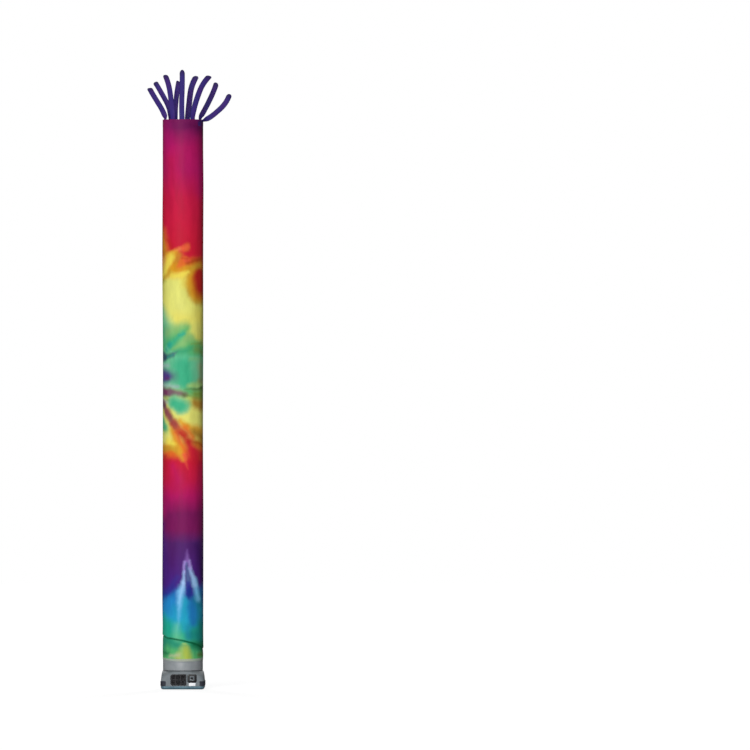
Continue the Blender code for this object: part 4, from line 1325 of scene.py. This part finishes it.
THREAD, RIPSTOP = 0.0007, 0.0055            # between threads, and between the thicker ones
PUCKER = 0.031              # between the puckers along the back seam
SEAM_REACH = (0.035, 0.006)                 # they fade in between these from the seam
HEM_UNDYED = (0.032, 0.018)                 # the dye fades out between these above the hem
MOTTLED = (0.93, 1.05)      # the print's tone is patchy between these
WEAVE_TINT, LINING_TINT = 0.05, 0.35        # how far both change the print's colour
BLACK = (0.0, 0.0, 0.0, 1.0)
LINING_SHADE = shade(214, 206, 204)
VIOLET, BLUE_VIOLET, STREAK = shade(58, 46, 124), shade(70, 42, 120), shade(50, 52, 140)
# the streamers' darker edge colour is painted shade
EDGE_SHADE, DARK_TIP = shade(34, 24, 84), shade(46, 36, 78)
# the dark colour beside joints is grime and painted shade, where the joints' shadow falls
DUST, GRIME_AND_SHADE = shade(176, 172, 162), shade(46, 46, 50)


def tie_dye(around, height, point):
    """The print's colour. Broad and fine noise push the place about, as wet dye creeps; the
    ground colour goes by height, and the strokes lie over it in turn."""
    # the cloth was folded down both sides, so its back repeats its front turned round
    quarter = ROUND_THE_TUBE / 4
    folded = calc("PINGPONG", around + quarter, 2 * quarter) - quarter
    place = joined(folded, height)
    for scale, detail, reach in CREEP:
        push = vector("SUBTRACT", noise(point, scale, detail, out=1), (0.5, 0.5, 0.5))
        place = vector("MULTIPLY_ADD", push, (reach, reach, 0.0), place)
    level = parted(place)[1]
    span = GROUND_HIGH - GROUND_LOW
    stops = [((h - GROUND_LOW) / span, DYES[name]) for h, name in reversed(GROUND)]
    colour = ramp((level - GROUND_LOW) / span, stops)
    group = stroke_group()
    for name, *sizes, percent in STROKES:
        s0, h0, s1, h1, half, end_half, softness = (size / 1000 for size in sizes)
        mask = use_group(group, Place=place, Start=(s0, h0, 0.0), End=(s1, h1, 0.0),
                         Half_Width=half, End_Half_Width=end_half, Softness=softness,
                         Strength=percent / 100)["Mask"]
        colour = mixed(mask, colour, DYES[name])
    return colour


def tie_dye_cloth(weave):
    """Printed ripstop: the tie-dye, mottled a little, paler on the lining, with painted shade
    along the fold, left undyed along the hem and puckered along the back seam."""
    material, tree, shader = new_material("tie_dye_cloth", Specular_IOR_Level=0.07)
    point = place_of(tree)
    height = parted(point)[2]
    laid = parted(Wire(node(tree, "UVMap", {"uv_map": "OFBake"}).outputs[0]))
    around = (laid[0] - 0.5) * ROUND_THE_TUBE
    colour = tie_dye(around, height, point)
    mottle = noise(stretched(point, 1.0, 1.0, 0.30), 15.0, detail=3.0, roughness=0.55)
    tone = alike(eased(mottle, 0.30, 0.70, *MOTTLED))
    colour = vector("MULTIPLY", colour, tone)
    sag = calc("COSINE", around / TUBE_RADIUS) * LOW_SECTIONS[0, 3]
    undyed = eased(height - HEM_HEIGHT + sag, *HEM_UNDYED, high=0.85)
    colour = mixed(undyed, colour, DYES["hem grey"])
    # painted shade: the print turns bottle green along the fold's line, where its shadow falls
    fold = attribute(tree, "fold") * eased(around, -0.30, 0.25, low=0.85)
    colour = mixed(fold, colour, DYES["bottle green"])
    colour = mixed(attribute(tree, "lining") * LINING_TINT, colour, LINING_SHADE)
    cloth = use_group(weave, Place=joined(around, height), Thread=THREAD, Square=RIPSTOP)
    colour = mixed(cloth["Tint"] * WEAVE_TINT, colour, BLACK)
    from_seam = ROUND_THE_TUBE / 2 - calc("ABSOLUTE", around)
    pucker = calc("SINE", height * (2 * pi / PUCKER)) * eased(from_seam, *SEAM_REACH)
    dress(shader, colour, eased(mottle, 0.3, 0.7, low=0.50, high=0.60),
          cloth["Height"] + pucker * 3.0, distance=0.00025, strength=0.35)
    return material


def purple_cloth(weave):
    """Streamer nylon: violet and blue-violet drawn out along each strip, darker at the tip,
    with painted shade along the cut edges."""
    material, tree, shader = new_material("purple_cloth", Specular_IOR_Level=0.08)
    along, across, reach = (attribute(tree, n) for n in ("along", "across", "reach"))
    broad = noise(stretched(place_of(tree), 1.0, 1.0, 0.35), 14.0)
    colour = mixed(eased(broad, 0.35, 0.65), VIOLET, BLUE_VIOLET)
    streak = noise(joined(across * 160.0, along * 9.0), 1.0, detail=3.0, roughness=0.6)
    edge = calc("ABSOLUTE", across)
    for share, tint in ((eased(streak, 0.45, 0.75, high=0.35), STREAK),
                        # painted shade towards the cut edges, as a curled strip's sides would be
                        # shaded
                        (eased(edge, 0.018, 0.0275, high=0.45), EDGE_SHADE),
                        (eased(reach, 0.84, 1.0, high=0.70), DARK_TIP)):
        colour = mixed(share, colour, tint)
    cloth = use_group(weave, Place=joined(across, along), Thread=THREAD, Square=RIPSTOP)
    colour = mixed(cloth["Tint"] * 0.12, colour, BLACK)
    dress(shader, colour, eased(streak, 0.3, 0.7, low=0.48, high=0.60),
          cloth["Height"], distance=0.0002, strength=0.6)
    return material


def thread_finish(name, dark, light):
    """Sewing thread with a painted highlight where it lies high and painted shade between its
    twists.
    """
    material, tree, shader = new_material(name, Sheen_Weight=0.15)
    twist = noise(place_of(tree), 2600.0, detail=1.0)
    # dark and light are a shaded and a lit copy of one thread colour, mixed by the bump's height
    colour = mixed(eased(twist, 0.35, 0.65), dark, light)
    dress(shader, colour, 0.6, twist, distance=0.0001, strength=0.5)
    return material


def grimed_and_shaded(painted, point, joints):
    """A colour with patchy grime and painted shade beside each joint, given as its height and the
    reach.
    """
    height = parted(point)[2]
    patchy = noise(point, 46.0, detail=3.0, roughness=0.65)
    patchy = eased(patchy, 0.15, 0.6, low=0.55, high=0.95)
    for joint, reach in joints:
        # grime and painted shade: a dark band where each joint's shadow falls
        near = eased(calc("ABSOLUTE", height - joint), reach, 0.0)
        painted = mixed(near * patchy, painted, GRIME_AND_SHADE)
    return painted


def moulded(name, grain, colour, tone, roughness, size, dusty, joints, **fixed):
    """Moulded or painted stuff: its colour mottled towards a second tone, dust on what faces
    up, grime and painted shade beside its joints, and a grain that also varies the gloss."""
    material, tree, shader = new_material(name, **fixed)
    point = place_of(tree)
    facing = Wire(node(tree, "NewGeometry").outputs["Normal"])
    made = use_group(grain, Place=point, Facing=facing, Size=size)
    painted = mixed(eased(made["Mottle"], 0.30, 0.70), shade(*colour), shade(*tone))
    painted = mixed(made["Dust"] * dusty, painted, DUST)
    if joints:
        painted = grimed_and_shaded(painted, point, joints)
    rough = eased(made["Mottle"], 0.25, 0.75, low=roughness - 0.06, high=roughness + 0.08)
    rough = calc("MAXIMUM", rough, made["Dust"] * 0.8)
    dress(shader, painted, rough, made["Height"], distance=0.00012, strength=0.5)
    return material


# ---- the stage ---------------------------------------------------------------

VIEW_WIDTH = 8.475          # how much the view spans at the tube
VIEW_MIDDLE_X, VIEW_MIDDLE_Z = 2.17, 3.546
EYE_DISTANCE = 120.0
SENSOR = 36.0
AMBIENT = 0.05
WHITE, FLOOR_GREY = (1.0, 1.0, 1.0, 1.0), (0.42, 0.42, 0.42, 1.0)
FLOOR_HALF = 60.0
FLOOR_DEPTH = 0.0005
FLOOR_GLOW = 0.80           # how bright the floor stays where no light falls on it
SUNS = (
    # (name, degrees round from the front towards +X, degrees up, power, degrees of spread)
    ("key light", -12, 14, 2.65, 24),
    ("back light, right", 163, 30, 0.95, 15),
    ("back light, left", 197, 30, 0.95, 15),
)


def make_camera():
    """A long lens that looks level at the middle of the view, from far in front."""
    data = bpy.data.cameras.new("camera")
    data.sensor_width = SENSOR
    data.lens = SENSOR * EYE_DISTANCE / VIEW_WIDTH
    data.clip_end = 4 * EYE_DISTANCE
    ob = placed("camera", data)
    ob.location = (VIEW_MIDDLE_X, -EYE_DISTANCE, VIEW_MIDDLE_Z)
    ob.rotation_euler = (pi / 2, 0.0, 0.0)
    bpy.context.scene.camera = ob


def make_world():
    """A white surround for the eye and a dimmer one for the light that it gives."""
    world = bpy.data.worlds.new("studio")
    bpy.context.scene.world = world
    world.use_nodes = True
    tree = world.node_tree
    strength = seen_by_eye(tree) * (1.0 - AMBIENT) + AMBIENT
    feed_by_name(tree.nodes["Background"].inputs, {"Color": WHITE, "Strength": strength})


def make_floor():
    """A plain pale floor, bright to the eye, which throws only a little light back."""
    corners = [(x * FLOOR_HALF, y * FLOOR_HALF, -FLOOR_DEPTH)
               for x, y in ((-1, -1), (1, -1), (1, 1), (-1, 1))]
    mesh = bpy.data.meshes.new("floor")
    mesh.from_pydata(corners, [], [(0, 1, 2, 3)])
    ob = placed("floor", mesh)
    material, tree, shader = new_material("pale_floor", Roughness=0.9, Specular_IOR_Level=0.0,
                                          Base_Color=FLOOR_GREY, Emission_Color=WHITE)
    feed_by_name(shader.inputs, {"Emission Strength": seen_by_eye(tree) * FLOOR_GLOW})
    mesh.materials.append(material)


def make_stage():
    """The camera, the white surround, the floor and three broad soft lights."""
    bpy.context.scene.view_settings.view_transform = "Standard"
    make_camera()
    make_world()
    make_floor()
    for name, azimuth, elevation, power, spread in SUNS:
        data = bpy.data.lights.new(name, "SUN")
        data.energy, data.angle = power, radians(spread)
        placed(name, data).rotation_euler = (radians(90 - elevation), 0.0, radians(azimuth))


# ---- putting it together -----------------------------------------------------

def make_cloth(weave):
    """The tube, its streamers and its stitches."""
    dyed = tie_dye_cloth(weave)
    tube = add_piece(tube_sheet(), "dancer", "tie_dye_cloth", dyed, "tube")
    thread = make_streamers(purple_cloth(weave))
    # each thread given as a painted-shade copy and a painted-highlight copy of its colour
    pale = thread_finish("pale_thread", shade(150, 140, 136), shade(214, 206, 200))
    wine = thread_finish("wine_thread", shade(96, 20, 60), shade(160, 50, 100))
    seam = [seam_stitches(side * SEAM_APART / 2) for side in (-1, 1)]
    hem = [ring_stitches(HEM_HEIGHT + up) for up in (EDGE_ROW, HEM_BAND - BAND_ROW)]
    rim = [ring_stitches(TOP_HEIGHT - down) for down in (EDGE_ROW, HEM_BAND - BAND_ROW)]
    sewn = [add_piece(stitch_mesh(name, lines), "dancer", "tie_dye_cloth", finish)
            for name, lines, finish in (("seam_stitching", seam, wine),
                                        ("hem_stitching", hem, pale),
                                        ("rim_stitching", rim + thread, wine))]


LOW_GLOSS, MID_GLOSS = dict(Specular_IOR_Level=0.2), dict(Specular_IOR_Level=0.3)
MOULDED = (
    # (name, colour, second tone, roughness, grain size, dust, joints with grime and painted shade
    #  and their reach, fixed sockets)
    ("grey_housing", (118, 126, 131), (127, 133, 137), 0.68, 0.0009, 0.10,
     ((BASE_TOP, 0.006), (TRAY_TOP, 0.004)), LOW_GLOSS),
    ("grey_collar", (142, 148, 152), (151, 155, 159), 0.42, 0.0009, 0.15,
     ((BASE_TOP, 0.009),), {}),
    ("blue_grey_tray", (88, 120, 136), (98, 132, 146), 0.40, 0.0016, 0.35,
     ((TRAY_TOP, 0.003),), dict(Metallic=0.25)),
    ("black_grille", (20, 18, 24), (32, 26, 32), 0.50, 0.0008, 0.15, (), MID_GLOSS),
    ("black_panel", (6, 6, 9), (12, 12, 16), 0.38, 0.0020, 0.05, (), LOW_GLOSS),
    ("pale_grey_frame", (104, 114, 122), (118, 128, 135), 0.35, 0.0010, 0.35, (), {}),
    ("black_rocker", (14, 14, 17), (24, 24, 28), 0.28, 0.0010, 0.20, (), {}),
    ("white_label", (240, 243, 247), (250, 251, 252), 0.50, 0.0012, 0.15, (), {}),
    ("black_rubber", (32, 36, 46), (44, 46, 58), 0.70, 0.0007, 0.35, (), {}),
)
PLATE_EDGE, BEZEL_EDGE, BEZEL_HOLE_EDGE = 0.0022, 0.0015, 0.0008    # rounded edges
LABEL_EDGE, SLOT_EDGE = 0.0004, 0.0006


def make_blower(grain):
    """The blower's pieces, each with its finish and the solid part that it stands for."""
    finish = {name: moulded(name, grain, *row, **fixed) for name, *row, fixed in MOULDED}
    plate = ringed_plate("switch_plate", PROUD, PANEL_DEPTH, PLATE_EDGE, PANEL,
                         frame_sizes(-GAP), 0.0)
    bezel = ringed_plate("switch_bezel", FRAME_PROUD, FRAME_DEPTH, BEZEL_EDGE,
                         frame_sizes(0.0), frame_sizes(FRAME_BORDER), BEZEL_HOLE_EDGE)
    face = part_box("label")[0].y
    label = capped_mesh("blank_label", plate_rings(face, LABEL_THICKNESS, LABEL_EDGE, LABEL))
    pads = [(pad_mesh(where, quarter), "dancer", "black_rubber", "corner_pad_" + where)
            for quarter, where in enumerate(("front_left", "front_right",
                                             "rear_right", "rear_left"))]
    pieces = (
        (housing_mesh(), "dancer", "grey_housing", "housing"),
        (collar_mesh(), "dancer", "grey_collar", "collar"),
        (tray_mesh(), "dancer", "blue_grey_tray", "tray"),
        (merged_copy("louvre_grille", "intake_grille", SLOT_EDGE), "dancer", "black_grille",
         "intake_grille"),
        (plate, "dancer", "black_panel", "switch_panel"),
        (bezel, "dancer", "pale_grey_frame", "switch_frame"),
        (rocker_mesh(), "rocker", "black_rocker", "rocker"),
        (mark_mesh(), "rocker", "pale_grey_frame"),
        (label, "dancer", "white_label", "label"),
        *pads,
        (gland_mesh(), "dancer", "black_rubber", "cable_gland"),
    )
    for mesh, body, slot, *nodes in pieces:
        add_piece(mesh, body, slot, finish[slot], *nodes)


make_stage()
make_cloth(weave_group())
make_blower(grain_group())
